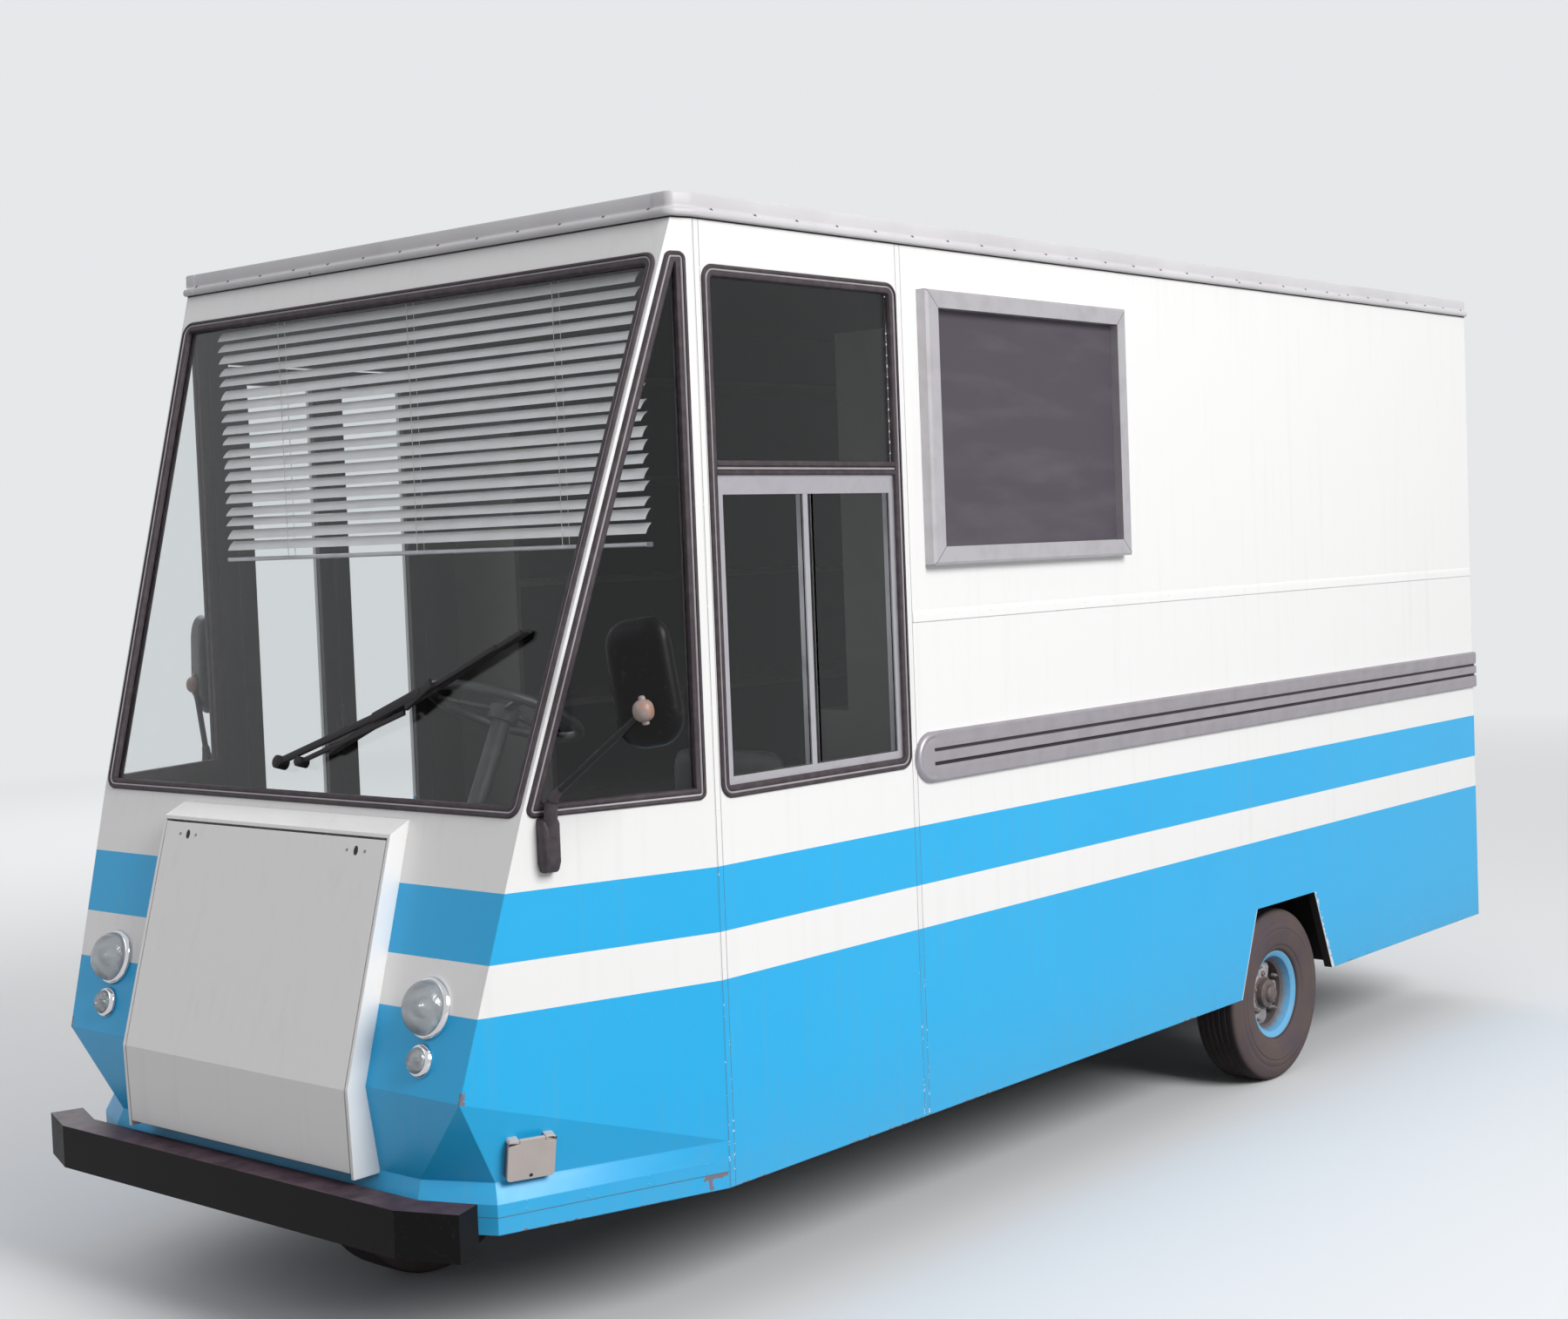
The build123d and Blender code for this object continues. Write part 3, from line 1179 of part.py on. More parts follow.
def drive_motor():
    """Upright motor on the spindle and the chain case down to the wheel."""
    foot = Pos(0, FRONT_AXLE_Y, SPINDLE_TOP)
    motor = foot * Cylinder(MOTOR_R + MOTOR_FLANGE[0], MOTOR_FLANGE[1], align=BASE)
    motor += foot * Cylinder(MOTOR_R, MOTOR_H, align=BASE)
    motor += foot * Pos(0, 0, MOTOR_H) * Cylinder(MOTOR_R - MOTOR_CAP[0], MOTOR_CAP[1], align=BASE)
    inner = TYRE_W / 2 + LEG_GAP + LEG_THICK
    across = (inner, inner + CHAIN_CASE_W)
    low_r, high_r = CHAIN_CASE_R
    high = CROWN_Z - CHAIN_CASE_DROP
    case = box(across, (FRONT_AXLE_Y - high_r, FRONT_AXLE_Y + high_r), (AXLE_Z, high))
    case += rod((across[0], FRONT_AXLE_Y, AXLE_Z), (across[1], FRONT_AXLE_Y, AXLE_Z), low_r)
    case += rod((across[0], FRONT_AXLE_Y, high), (across[1], FRONT_AXLE_Y, high), high_r)
    return motor + case


STEER_CENTRE = Vector(WHEEL_X, KINK_Y + STEER_WHEEL_BACK, STEER_WHEEL_Z)
STEER_AXIS = Vector(0, math.sin(math.radians(STEER_TILT)), math.cos(math.radians(STEER_TILT)))


def steering_wheel():
    """Rim, three spokes and a hub on the tilted column."""
    plane = Plane(origin=STEER_CENTRE, x_dir=(1, 0, 0), z_dir=STEER_AXIS)
    wheel = plane * Torus(STEER_WHEEL_R - STEER_RIM_R, STEER_RIM_R)
    wheel += plane * Pos(0, 0, -STEER_HUB_DROP) * Cylinder(STEER_HUB_R, STEER_HUB_H, align=BASE)
    start = (Align.MIN, Align.CENTER, Align.CENTER)
    spoke = Box(STEER_WHEEL_R - STEER_RIM_R, *STEER_SPOKE, align=start)
    for angle in (90, 210, 330):
        wheel += plane * Rot(0, 0, angle) * spoke
    return wheel


def dashboard():
    """Shelf under the windscreen and the steering column on its gear."""
    inside = nose_core(SHELL + FIT, BAND_TOP_Z, LIP_Z, BEND_Y)
    front = nose_y(DASH_Z)
    along = (front, front + SHELL + DASH_DEPTH)
    shelf = inside & box((-HALF_W, HALF_W), along, (DASH_Z - DASH_THICK, DASH_Z))
    top = STEER_CENTRE - STEER_AXIS * (STEER_HUB_DROP + FIT)
    foot = top - STEER_AXIS * ((top.Z - TUNNEL_TOP_Z - COLUMN_END_UP) / STEER_AXIS.Z)
    column = rod(foot, top, COLUMN_R)
    across = (WHEEL_X - GEAR_HALF_W, WHEEL_X + GEAR_HALF_W)
    gear = box(across, (foot.Y + GEAR_Y[0], foot.Y + GEAR_Y[1]), (TUNNEL_TOP_Z, TUNNEL_TOP_Z + GEAR_H))
    return shelf + column + gear


def driver_seat():
    """Pedestal, pan and stay that carry the cushions."""
    y = KINK_Y + SEAT_BACK
    pan_top = SEAT_TOP_Z - CUSHION_THICK - FIT
    pan_low = pan_top - SEAT_PAN[1]
    foot, foot_h = SEAT_FOOT
    base = box((SEAT_X - foot, SEAT_X + foot), (y - foot, y + foot), (FLOOR_Z, FLOOR_Z + foot_h))
    post = SEAT_POST
    base += box((SEAT_X - post, SEAT_X + post), (y - post, y + post), (FLOOR_Z, pan_low))
    half = SEAT_PAN[0]
    back = y + SEAT_PAN_BACK
    pan = box((SEAT_X - half, SEAT_X + half), (y - half, back), (pan_low, pan_top))
    wide, thick = SEAT_STAY
    stay = box((SEAT_X - wide, SEAT_X + wide), (back, back + thick), (pan_low, SEAT_TOP_Z + SEAT_STAY_UP))
    return base + pan + stay


def seat_cushions():
    """Cushion and low backrest."""
    y = KINK_Y + SEAT_BACK
    across = (SEAT_X - SEAT_W / 2, SEAT_X + SEAT_W / 2)
    cushion = box(across, (y + CUSHION_Y[0], y + CUSHION_Y[1]), (SEAT_TOP_Z - CUSHION_THICK, SEAT_TOP_Z))
    low, high = BACKREST_Z
    back = box(across, (y + BACKREST_Y[0], y + BACKREST_Y[1]), (SEAT_TOP_Z + low, SEAT_TOP_Z + high))
    return cushion + back


def rack_spans():
    """Low and high Y of the shelf racks."""
    return SEAM_Y + RACK_FROM_SEAM, REAR_Y - RACK_FROM_REAR


def shelf_racks():
    """Open shelves along both sides of the box."""
    y0, y1 = rack_spans()
    wall = HALF_W - WALL
    lower = (wall - RACK_DEPTH, wall)
    upper = (wall - UPPER_DEPTH, wall)
    rack = box(lower, (y0, y0 + RACK_END), (FLOOR_Z, LOWER_PLANKS[-1]))
    rack += box(lower, (y1 - RACK_END, y1), (FLOOR_Z, LOWER_PLANKS[-1]))
    rack += box(upper, (y0, y0 + RACK_END), (LOWER_PLANKS[-1] - RACK_PLANK, UPPER_PLANKS[-1]))
    rack += box(upper, (y1 - RACK_END, y1), (LOWER_PLANKS[-1] - RACK_PLANK, UPPER_PLANKS[-1]))
    for z in LOWER_PLANKS:
        rack += box(lower, (y0, y1), (z - RACK_PLANK, z))
    for z in UPPER_PLANKS:
        rack += box(upper, (y0, y1), (z - RACK_PLANK, z))
    return both(rack)


REAR_WHEELS = {"left": 1, "right": -1}


def nodes():
    """Each node's name and solid."""
    made = {
        "chassis_frame": chassis_frame(),
        "floor_pan": floor_pan(),
        "nose_shell": nose_shell(),
        "bonnet_frame": bonnet_frame(),
        "bonnet_panel": bonnet_panel(),
        "cab_side_left": cab_side_left(),
        "door_frame_right": door_frame_right(),
        "box_side_left": box_side(),
        "box_side_right": box_side(right=True),
        "rear_wall": rear_wall(),
        "roof_panel": roof_panel(),
        "roof_trim": roof_trim(),
        "windscreen_glass": windscreen_glass(),
        "side_glass": side_glass(),
        "side_window_frame": side_window_frame(),
        "window_seals": window_seals(),
        "door_leaf_rear": door_leaf(front=False),
        "door_leaf_front": door_leaf(front=True),
        "door_glass_rear": door_glass(front=False),
        "door_glass_front": door_glass(front=True),
        "side_mouldings": side_mouldings(),
        "bumpers": bumpers(),
        "lamps": lamps(),
        "mirrors": mirrors(),
        "wiper": wiper(),
        "blind": blind(),
        "board_frame": board_frame(),
        "board_slate": board_slate(),
        "charge_inlet": charge_inlet(),
        "charge_flap": charge_flap(),
        "rear_axle": rear_axle(),
        "battery_block": battery_block(),
        "steer_fork": steer_fork(),
        "drive_motor": drive_motor(),
        "front_tyre": tyre(0, FRONT_AXLE_Y),
        "front_rim": rim(0, FRONT_AXLE_Y, closed=False),
        "steering_wheel": steering_wheel(),
        "dashboard": dashboard(),
        "driver_seat": driver_seat(),
        "seat_cushions": seat_cushions(),
        "shelf_racks": shelf_racks(),
    }
    for name, side in REAR_WHEELS.items():
        made[f"rear_tyre_{name}"] = tyre(side * REAR_WHEEL_X, REAR_AXLE_Y)
        made[f"rear_rim_{name}"] = rim(side * REAR_WHEEL_X, REAR_AXLE_Y, outward=side > 0)
    return made


def main():
    os.makedirs("parts", exist_ok=True)
    for name, solid in nodes().items():
        export_step(solid, f"parts/{name}.step")


if __name__ == "__main__":
    main()
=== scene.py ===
# Dresses a three-wheeled electric shop van: paint, glass, lamps, wheels, fittings and seat.
import math

import bmesh
import bpy
import numpy as np
from mathutils import Matrix, Vector


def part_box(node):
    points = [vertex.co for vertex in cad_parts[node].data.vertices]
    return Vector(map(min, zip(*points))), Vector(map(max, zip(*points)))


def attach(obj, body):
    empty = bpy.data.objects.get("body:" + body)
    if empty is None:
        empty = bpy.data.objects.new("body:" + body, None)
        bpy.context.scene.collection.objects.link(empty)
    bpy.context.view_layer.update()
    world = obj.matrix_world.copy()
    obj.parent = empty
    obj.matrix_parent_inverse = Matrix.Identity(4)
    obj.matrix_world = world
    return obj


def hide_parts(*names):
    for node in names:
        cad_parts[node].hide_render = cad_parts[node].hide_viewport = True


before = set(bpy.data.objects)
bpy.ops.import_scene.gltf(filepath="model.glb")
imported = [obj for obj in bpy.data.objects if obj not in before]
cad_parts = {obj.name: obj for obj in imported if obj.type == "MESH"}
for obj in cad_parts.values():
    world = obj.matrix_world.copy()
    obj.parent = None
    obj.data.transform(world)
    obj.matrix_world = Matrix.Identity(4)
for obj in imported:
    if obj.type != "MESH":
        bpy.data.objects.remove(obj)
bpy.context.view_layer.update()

bl_info = {
    "name": "Electric Shop Van",
    "version": (1, 0, 0),
    "blender": (4, 5, 0),
    "location": "View3D > Sidebar > Shop Van",
    "description": "Pieces, finishes and studio of a three-wheeled electric shop van",
    "category": "Object",
}

# Stations of the body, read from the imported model, in metres
SIDE_LOW, SIDE_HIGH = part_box("box_side_left")
HALF_W = SIDE_HIGH.x
SEAM_Y = SIDE_LOW.y
REAR_Y = SIDE_HIGH.y
SKIRT_Z = SIDE_LOW.z
LIP_Z = SIDE_HIGH.z
BEND_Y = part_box("cab_side_left")[0].y
KINK_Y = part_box("nose_shell")[0].y
ROOF_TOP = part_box("roof_panel")[1].z

# Slopes and folds of the nose, as built
TAPER = 0.3123
NOSE_SLOPE = 0.272
KINK_Z = 0.648
SILL_Z = 1.267
SILL_Y = KINK_Y + NOSE_SLOPE * (SILL_Z - KINK_Z)
SCREEN_SLOPE = 0.3071
CHEEK_STRETCH = math.hypot(1, TAPER)
SCREEN_STRETCH = math.hypot(1, SCREEN_SLOPE)

# Window openings
SCREEN_BOTTOM_Z = 1.268
SCREEN_TOP_Z = LIP_Z - 0.078
SCREEN_MARGIN = 0.010
QUARTER_BACK = 0.021
QUARTER_TOP_WIDTH = 0.052
QUARTER_MARGIN = 0.008
SIDE_WINDOW = (BEND_Y + 0.024, SEAM_Y - 0.014, 1.263, LIP_Z - 0.102)
WINDOW_BAR_TOP = LIP_Z - 0.6025
STILE_Y = SEAM_Y - 0.396
CORNER_R = 0.038
SEAL_WIDTH = 0.030
SEAL_DEPTH = 0.025

AXLE_Z = 0.288
TYRE_W = 0.178
REAR_WHEEL_X = HALF_W - 0.034 - TYRE_W / 2
REAR_AXLE_Y = REAR_Y - 1.512
ARCH_TOP_Z, ARCH_TOP_HALF, ARCH_BOTTOM_HALF = 0.610, 0.195, 0.308
LAP_LOW_Z = 0.370
MOULDING_Z = 1.284
MOULDING_SLOT = 0.019
FRONT_AXLE_Y = KINK_Y + 0.514


def nose_y(z):
    """Y of the front face of the cab at a height above the kink."""
    if z <= SILL_Z:
        return KINK_Y + NOSE_SLOPE * (z - KINK_Z)
    return SILL_Y + SCREEN_SLOPE * (z - SILL_Z)


def cheek_x(y):
    """Half width of the tapered cab side."""
    return HALF_W - TAPER * (BEND_Y - y)


class Face:
    """A flat face of the van, with its own across, up and outward directions."""

    def __init__(self, origin, across, up):
        self.origin = np.array(origin, float)
        self.across = np.array(across, float) / np.linalg.norm(across)
        self.up = np.array(up, float) / np.linalg.norm(up)
        self.out = np.cross(self.across, self.up)

    def place(self, across, up, out=0.0):
        """Points of the face: origin plus the three distances along its directions."""
        across, up, out = np.broadcast_arrays(across, up, out)
        shift = across[..., None] * self.across + up[..., None] * self.up
        return self.origin + shift + out[..., None] * self.out


LEFT = Face((HALF_W, 0, 0), (0, 1, 0), (0, 0, 1))
CHEEK = Face((HALF_W, BEND_Y, 0), (TAPER, 1, 0), (0, 0, 1))
SCREEN = Face((0, SILL_Y, SILL_Z), (1, 0, 0), (0, SCREEN_SLOPE, 1))
NOSE = Face((0, KINK_Y, KINK_Z), (1, 0, 0), (0, NOSE_SLOPE, 1))
REAR = Face((0, REAR_Y, 0), (-1, 0, 0), (0, 0, 1))
PLAN = Face((0, 0, 0), (1, 0, 0), (0, 1, 0))


def screen_corners():
    """Corners of the windscreen opening on its own face."""
    low = (SCREEN_BOTTOM_Z - SILL_Z) * SCREEN_STRETCH
    high = (SCREEN_TOP_Z - SILL_Z) * SCREEN_STRETCH
    wide_low = cheek_x(nose_y(SCREEN_BOTTOM_Z)) - SCREEN_MARGIN
    wide_high = cheek_x(nose_y(SCREEN_TOP_Z)) - SCREEN_MARGIN
    return [(-wide_low, low), (wide_low, low), (wide_high, high), (-wide_high, high)]


def quarter_corners():
    """Corners of the quarter window on the cheek."""
    front = (nose_y(SCREEN_BOTTOM_Z) - BEND_Y) * CHEEK_STRETCH + QUARTER_MARGIN
    top = SCREEN_TOP_Z
    return [
        (front, SCREEN_BOTTOM_Z),
        (-QUARTER_BACK, SCREEN_BOTTOM_Z),
        (-QUARTER_BACK, top),
        (-QUARTER_BACK - QUARTER_TOP_WIDTH, top),
    ]


def side_corners():
    """Corners of the driver's side window."""
    front, rear, low, high = SIDE_WINDOW
    return [(front, low), (rear, low), (rear, high), (front, high)]


# Colours and node trees
# Dark colour laid as painted shade on the inner faces of the body and door leaves and under the roof
PAINTED_SHADE_COLOUR = "#252123"
BACKDROP = "#E6E8EA"


def linear(code, alpha=1.0):
    """Linear colour of an sRGB hex value: each channel by the standard curve."""
    channels = np.array([int(code[i:i + 2], 16) for i in (1, 3, 5)]) / 255
    low = channels / 12.92
    high = ((channels + 0.055) / 1.055) ** 2.4
    return (*np.where(channels <= 0.04045, low, high), alpha)


def add_node(tree, kind, inputs=(), output=0, **settings):
    """Adds a shader node with its settings, fills or links its inputs, and returns one of its outputs."""
    node = tree.nodes.new("ShaderNode" + kind)
    for name, value in settings.items():
        setattr(node, name, value)
    for key, value in inputs.items() if isinstance(inputs, dict) else enumerate(inputs):
        if isinstance(value, bpy.types.NodeSocket):
            tree.links.new(value, node.inputs[key])
        else:
            node.inputs[key].default_value = linear(value) if isinstance(value, str) else value
    return node.outputs[output]


def new_finish(name, colour, **values):
    """Material with one Principled shader; its constant values sit on the shader's own sockets."""
    finish = bpy.data.materials.new(name)
    finish.use_nodes = True
    shader = finish.node_tree.nodes["Principled BSDF"]
    shader.inputs["Base Color"].default_value = linear(colour)
    for socket, value in values.items():
        shader.inputs[socket.replace("_", " ")].default_value = value
    return finish, finish.node_tree, shader


def wire(tree, shader, **sockets):
    """Links worked out values to the shader's sockets of those names."""
    for name, socket in sockets.items():
        tree.links.new(socket, shader.inputs[name.replace("_", " ")])


def millimetres(size):
    """Texture scale at which one feature of the pattern spans that many millimetres."""
    return 1000 / size


def every(tree, *masks):
    """Product of masks and shares: more than nothing only where all of them are."""
    product = masks[0]
    for mask in masks[1:]:
        product = add_node(tree, "Math", [product, mask], operation="MULTIPLY")
    return product


def either(tree, *masks):
    """Greatest of masks: one where any of them is."""
    greatest = masks[0]
    for mask in masks[1:]:
        greatest = add_node(tree, "Math", [greatest, mask], operation="MAXIMUM")
    return greatest


def within(tree, value, low=None, high=None):
    """One where the value lies between its limits, else nothing; a limit of None is open."""
    tests = []
    if low is not None:
        tests.append(add_node(tree, "Math", [value, low], operation="GREATER_THAN"))
    if high is not None:
        tests.append(add_node(tree, "Math", [value, high], operation="LESS_THAN"))
    return every(tree, *tests)


def near(tree, value, place, half):
    """One within a half width of a place, else nothing."""
    return within(tree, value, place - half, place + half)


def mottled(tree, place, size, detail=3.0, stretch=None):
    """Uneven pattern, its feature size in millimetres, drawn out along the axes with a small stretch."""
    if stretch:
        place = add_node(tree, "Mapping", {"Vector": place, "Scale": stretch})
    return add_node(tree, "TexNoise", {"Vector": place, "Scale": millimetres(size), "Detail": detail})


def layered(tree, colour, *layers):
    """Colour in layers: each lies over those before it by its own mask."""
    for mask, over in layers:
        colour = add_node(tree, "Mix", {0: mask, 6: colour, 7: over}, 2, data_type="RGBA")
    return colour


def raised(tree, height, depth, strength=1.0, fold=0.0):
    """Surface raised by a height pattern, over folds rounded to a radius; depth and radius in millimetres."""
    inputs = {"Height": height, "Distance": depth / 1000, "Strength": strength}
    if fold:
        inputs["Normal"] = add_node(tree, "Bevel", {"Radius": fold / 1000}, samples=4)
    return add_node(tree, "Bump", inputs)


def inner_skin(tree, place):
    """One where a point lies 12 mm or more behind every outer face of the body, above the kink."""
    skin = 0.012
    x, y, z = add_node(tree, "SeparateXYZ", [place]).node.outputs
    x = add_node(tree, "Math", [x], operation="ABSOLUTE")
    cheek = add_node(tree, "Math", [y, -TAPER, x], operation="MULTIPLY_ADD")
    nose = add_node(tree, "Math", [z, -NOSE_SLOPE, y], operation="MULTIPLY_ADD")
    screen = add_node(tree, "Math", [z, -SCREEN_SLOPE, y], operation="MULTIPLY_ADD")
    return every(
        tree,
        within(tree, x, high=HALF_W - skin),
        within(tree, cheek, high=HALF_W - TAPER * BEND_Y - skin),
        within(tree, nose, low=KINK_Y - NOSE_SLOPE * KINK_Z + skin),
        within(tree, screen, low=SILL_Y - SCREEN_SLOPE * SILL_Z + skin),
        within(tree, y, high=REAR_Y - skin),
        within(tree, z, low=KINK_Z),
    )


def arch_edge(tree, along, height):
    """Distance along Y from the sloping edges of the wheel arch, more than nothing on the sheet."""
    slope = (ARCH_BOTTOM_HALF - ARCH_TOP_HALF) / (ARCH_TOP_Z - SKIRT_Z)
    from_axle = add_node(tree, "Math", [along, REAR_AXLE_Y], operation="SUBTRACT")
    aside = add_node(tree, "Math", [from_axle], operation="ABSOLUTE")
    level = add_node(tree, "Math", [height, slope, aside], operation="MULTIPLY_ADD")
    return add_node(tree, "Math", [level, ARCH_TOP_HALF + slope * ARCH_TOP_Z], operation="SUBTRACT")


# Finishes, each named for the real material and how it was finished
def sprayed_enamel(name, white, blue=None, bands=(), shaded_inside=False):
    """Gloss enamel on folded sheet: faint orange peel, road film low down, chips at edges and seams."""
    finish, tree, shader = new_finish(name, white, Roughness=0.36, Coat_Weight=0.15, Coat_Roughness=0.3)
    place = add_node(tree, "TexCoord", output="Object")
    height = add_node(tree, "SeparateXYZ", [place], "Z")
    colour = white
    if blue:
        mask = either(tree, *[within(tree, height, *band) for band in bands])
        faded = layered(tree, blue, (mottled(tree, place, 600), fade_blue(blue)))
        colour = layered(tree, white, (mask, faded))
    low_down = add_node(tree, "MapRange", [height, SKIRT_Z + 0.35, SKIRT_Z, 0.0, 0.5])
    low_down = add_node(tree, "Math", [low_down, 2.0], operation="POWER")
    film = every(tree, low_down, mottled(tree, place, 45, 6.0))
    rain = mottled(tree, place, 30, 4.0, stretch=(1, 1, 0.05))
    streaks = add_node(tree, "MapRange", [rain, 0.55, 0.8, 0.0, 0.07])
    colour = layered(tree, colour, (film, "#8D8E92"), (streaks, "#A49C90"))
    relief = every(tree, mottled(tree, place, 2.5, 1.0), 0.06)
    if shaded_inside:
        colour, relief = worn_seams(tree, place, colour, relief)
        # Painted shade: faces 12 mm or more inside the body get the dark colour and lose their relief
        inside = inner_skin(tree, place)
        colour = layered(tree, colour, (inside, PAINTED_SHADE_COLOUR))
        relief = every(tree, relief, add_node(tree, "Math", [1.0, inside], operation="SUBTRACT"))
    elif blue:
        # Painted shade: on the door leaves, faces more than 14 mm in from the outer face get the dark colour
        across = add_node(tree, "SeparateXYZ", [place], "X")
        colour = layered(tree, colour, (within(tree, across, low=0.014 - HALF_W), PAINTED_SHADE_COLOUR))
    rough = add_node(tree, "MapRange", [film, 0.0, 0.2, 0.36, 0.6])
    wire(tree, shader, Base_Color=colour, Roughness=rough, Normal=raised(tree, relief, 0.5, fold=3.0))
    return finish


def worn_seams(tree, place, colour, relief):
    """Cover strips at the panel joints, a lap low on the nose, primer chips, rust at two folds, and painted
    shade inside the wheel arch.
    """
    across, along, height = add_node(tree, "SeparateXYZ", [place]).node.outputs
    aside = add_node(tree, "Math", [across], operation="ABSOLUTE")
    seams = (SEAM_Y - 0.010, SEAM_Y + 0.010, BEND_Y + 0.003, BEND_Y + 0.021)
    lap = every(tree, near(tree, height, LAP_LOW_Z, 0.0012), within(tree, along, high=BEND_Y))
    groove = either(tree, *[near(tree, along, seam, 0.0011) for seam in seams], lap)
    groove = every(tree, groove, within(tree, height, high=LIP_Z))
    relief = add_node(tree, "Math", [relief, groove], operation="SUBTRACT")

    # Primer shows beside the seams, more of it low down, and along the edges of the wheel arch
    speck = mottled(tree, place, 11, 4.0)
    beside = either(tree, *[near(tree, along, seam, 0.0028) for seam in seams])
    rare = add_node(tree, "MapRange", [height, 1.0, 0.35, 0.70, 0.62])
    chips = every(tree, beside, within(tree, speck, low=rare))
    edge = arch_edge(tree, along, height)
    rarer = add_node(tree, "MapRange", [height, 0.62, 0.34, 0.60, 0.47])
    rear = within(tree, along, low=REAR_AXLE_Y)
    flaked = every(tree, within(tree, edge, -0.002, 0.016), rear, within(tree, speck, low=rarer))
    arch = every(
        tree,
        either(tree, within(tree, edge, -0.002, 0.004), flaked),
        within(tree, height, high=ARCH_TOP_Z),
        within(tree, aside, low=HALF_W - 0.0015),
    )
    # Painted shade: faces behind the outer skin within the rear wheel arch are painted near black
    behind = every(
        tree,
        within(tree, aside, high=HALF_W - 0.0015),
        within(tree, edge, -1.0, 0.001),
        within(tree, along, low=SEAM_Y),
        within(tree, height, high=ARCH_TOP_Z + 0.001),
    )

    # Rust has ragged edges, because its limits are tested on distances that wobble by 12 mm
    wobble = add_node(tree, "Math", [mottled(tree, place, 16, 4.0), 0.024, -0.012], operation="MULTIPLY_ADD")
    out, back, up = [add_node(tree, "Math", [way, wobble], operation="ADD") for way in (aside, along, height)]
    hem = within(tree, up, high=SKIRT_Z + 0.0005)
    hem = every(tree, hem, within(tree, mottled(tree, place, 180), low=0.5))
    under_lap = within(tree, height, high=LAP_LOW_Z)
    spots = []
    for start, end, drop in ((0.062, 0.004, 0.010), (0.052, 0.041, 0.036)):
        run = within(tree, back, BEND_Y - start, BEND_Y - end)
        fall = within(tree, up, LAP_LOW_Z - drop, LAP_LOW_Z + 0.02)
        spots.append(every(tree, run, fall, under_lap))
    corner = every(
        tree,
        near(tree, out, cheek_x(KINK_Y), 0.005),
        within(tree, up, KINK_Z - 0.004, KINK_Z + 0.026),
        within(tree, along, high=KINK_Y + 0.014),
    )
    rust = either(tree, hem, *spots, corner)
    colour = layered(
        tree,
        colour,
        (every(tree, groove, 0.65), "#55565C"),
        (either(tree, chips, arch), "#DDE0E4"),
        (behind, "#131113"),
        (every(tree, rust, 0.85), "#80605A"),
    )
    return colour, relief


def fade_blue(code):
    """The same blue, a little bleached by the sun."""
    channels = [int(code[i:i + 2], 16) for i in (1, 3, 5)]
    lighter = [min(255, round(value + (255 - value) * 0.08)) for value in channels]
    return "#{:02X}{:02X}{:02X}".format(*lighter)


def roof_coating():
    """Matt white roof paint, gone chalky, with dirt where water lay; underneath, a dark painted shade."""
    finish, tree, shader = new_finish("matt_roof_paint_weathered", "#D9D7D0", Roughness=0.7)
    place = add_node(tree, "TexCoord", output="Object")
    dirt = add_node(tree, "MapRange", [mottled(tree, place, 350, 6.0), 0.45, 0.75, 0.0, 0.6])
    # Painted shade: faces below the top of the body's lip, the roof's underside, get the dark colour
    under = within(tree, add_node(tree, "SeparateXYZ", [place], "Z"), high=LIP_Z + 0.004)
    colour = layered(tree, "#DAD8D1", (dirt, "#9B968B"), (under, PAINTED_SHADE_COLOUR))
    wire(tree, shader, Base_Color=colour, Normal=raised(tree, mottled(tree, place, 6), 0.3))
    return finish


def rail_enamel():
    """White enamel on the roof rail, greyed by rain, with a few dark scars along its bead."""
    finish, tree, shader = new_finish("roof_rail_enamel_greyed", "#C9C7C9", Roughness=0.42)
    place = add_node(tree, "TexCoord", output="Object")
    rain = mottled(tree, place, 240, 3.0, stretch=(1, 1, 0.5))
    grime = add_node(tree, "MapRange", [rain, 0.4, 0.75, 0.0, 0.3])
    bead = near(tree, add_node(tree, "SeparateXYZ", [place], "Z"), LIP_Z + 0.014, 0.008)
    scars = within(tree, mottled(tree, place, 26, 2.0, stretch=(0.5, 0.5, 1)), low=0.735)
    colour = layered(tree, "#CFCDCF", (grime, "#A9A5A8"), (every(tree, bead, scars), "#4A434A"))
    wire(tree, shader, Base_Color=colour, Normal=raised(tree, mottled(tree, place, 40), 0.15))
    return finish


def satin_aluminium(name, colour):
    """Extruded and satin anodised: draw lines along the bar, a soft sheen, dull patches."""
    finish, tree, shader = new_finish(name, colour, Metallic=0.85, Roughness=0.36)
    place = add_node(tree, "TexCoord", output="Object")
    lines = mottled(tree, place, 1.6, 2.0, stretch=(1, 0.02, 1))
    dull = mottled(tree, place, 60, 5.0)
    rough = add_node(tree, "MapRange", [dull, 0.3, 0.75, 0.30, 0.52])
    patches = add_node(tree, "MapRange", [dull, 0.5, 0.8, 0.0, 0.35])
    colour = layered(tree, colour, (patches, "#8C898A"))
    wire(tree, shader, Base_Color=colour, Roughness=rough, Normal=raised(tree, lines, 0.05))
    return finish


def moulded_rubber(name, colour="#1D1B1C", rough=0.55, dusty="#4C4849"):
    """Moulded rubber: matt black skin, slightly greyed where dust sits."""
    finish, tree, shader = new_finish(name, colour, Roughness=rough, Specular_IOR_Level=0.35)
    place = add_node(tree, "TexCoord", output="Object")
    dust = add_node(tree, "MapRange", [mottled(tree, place, 25, 5.0), 0.4, 0.8, 0.0, 0.35])
    skin = raised(tree, mottled(tree, place, 1.5), 0.08)
    wire(tree, shader, Base_Color=layered(tree, colour, (dust, dusty)), Normal=skin)
    return finish


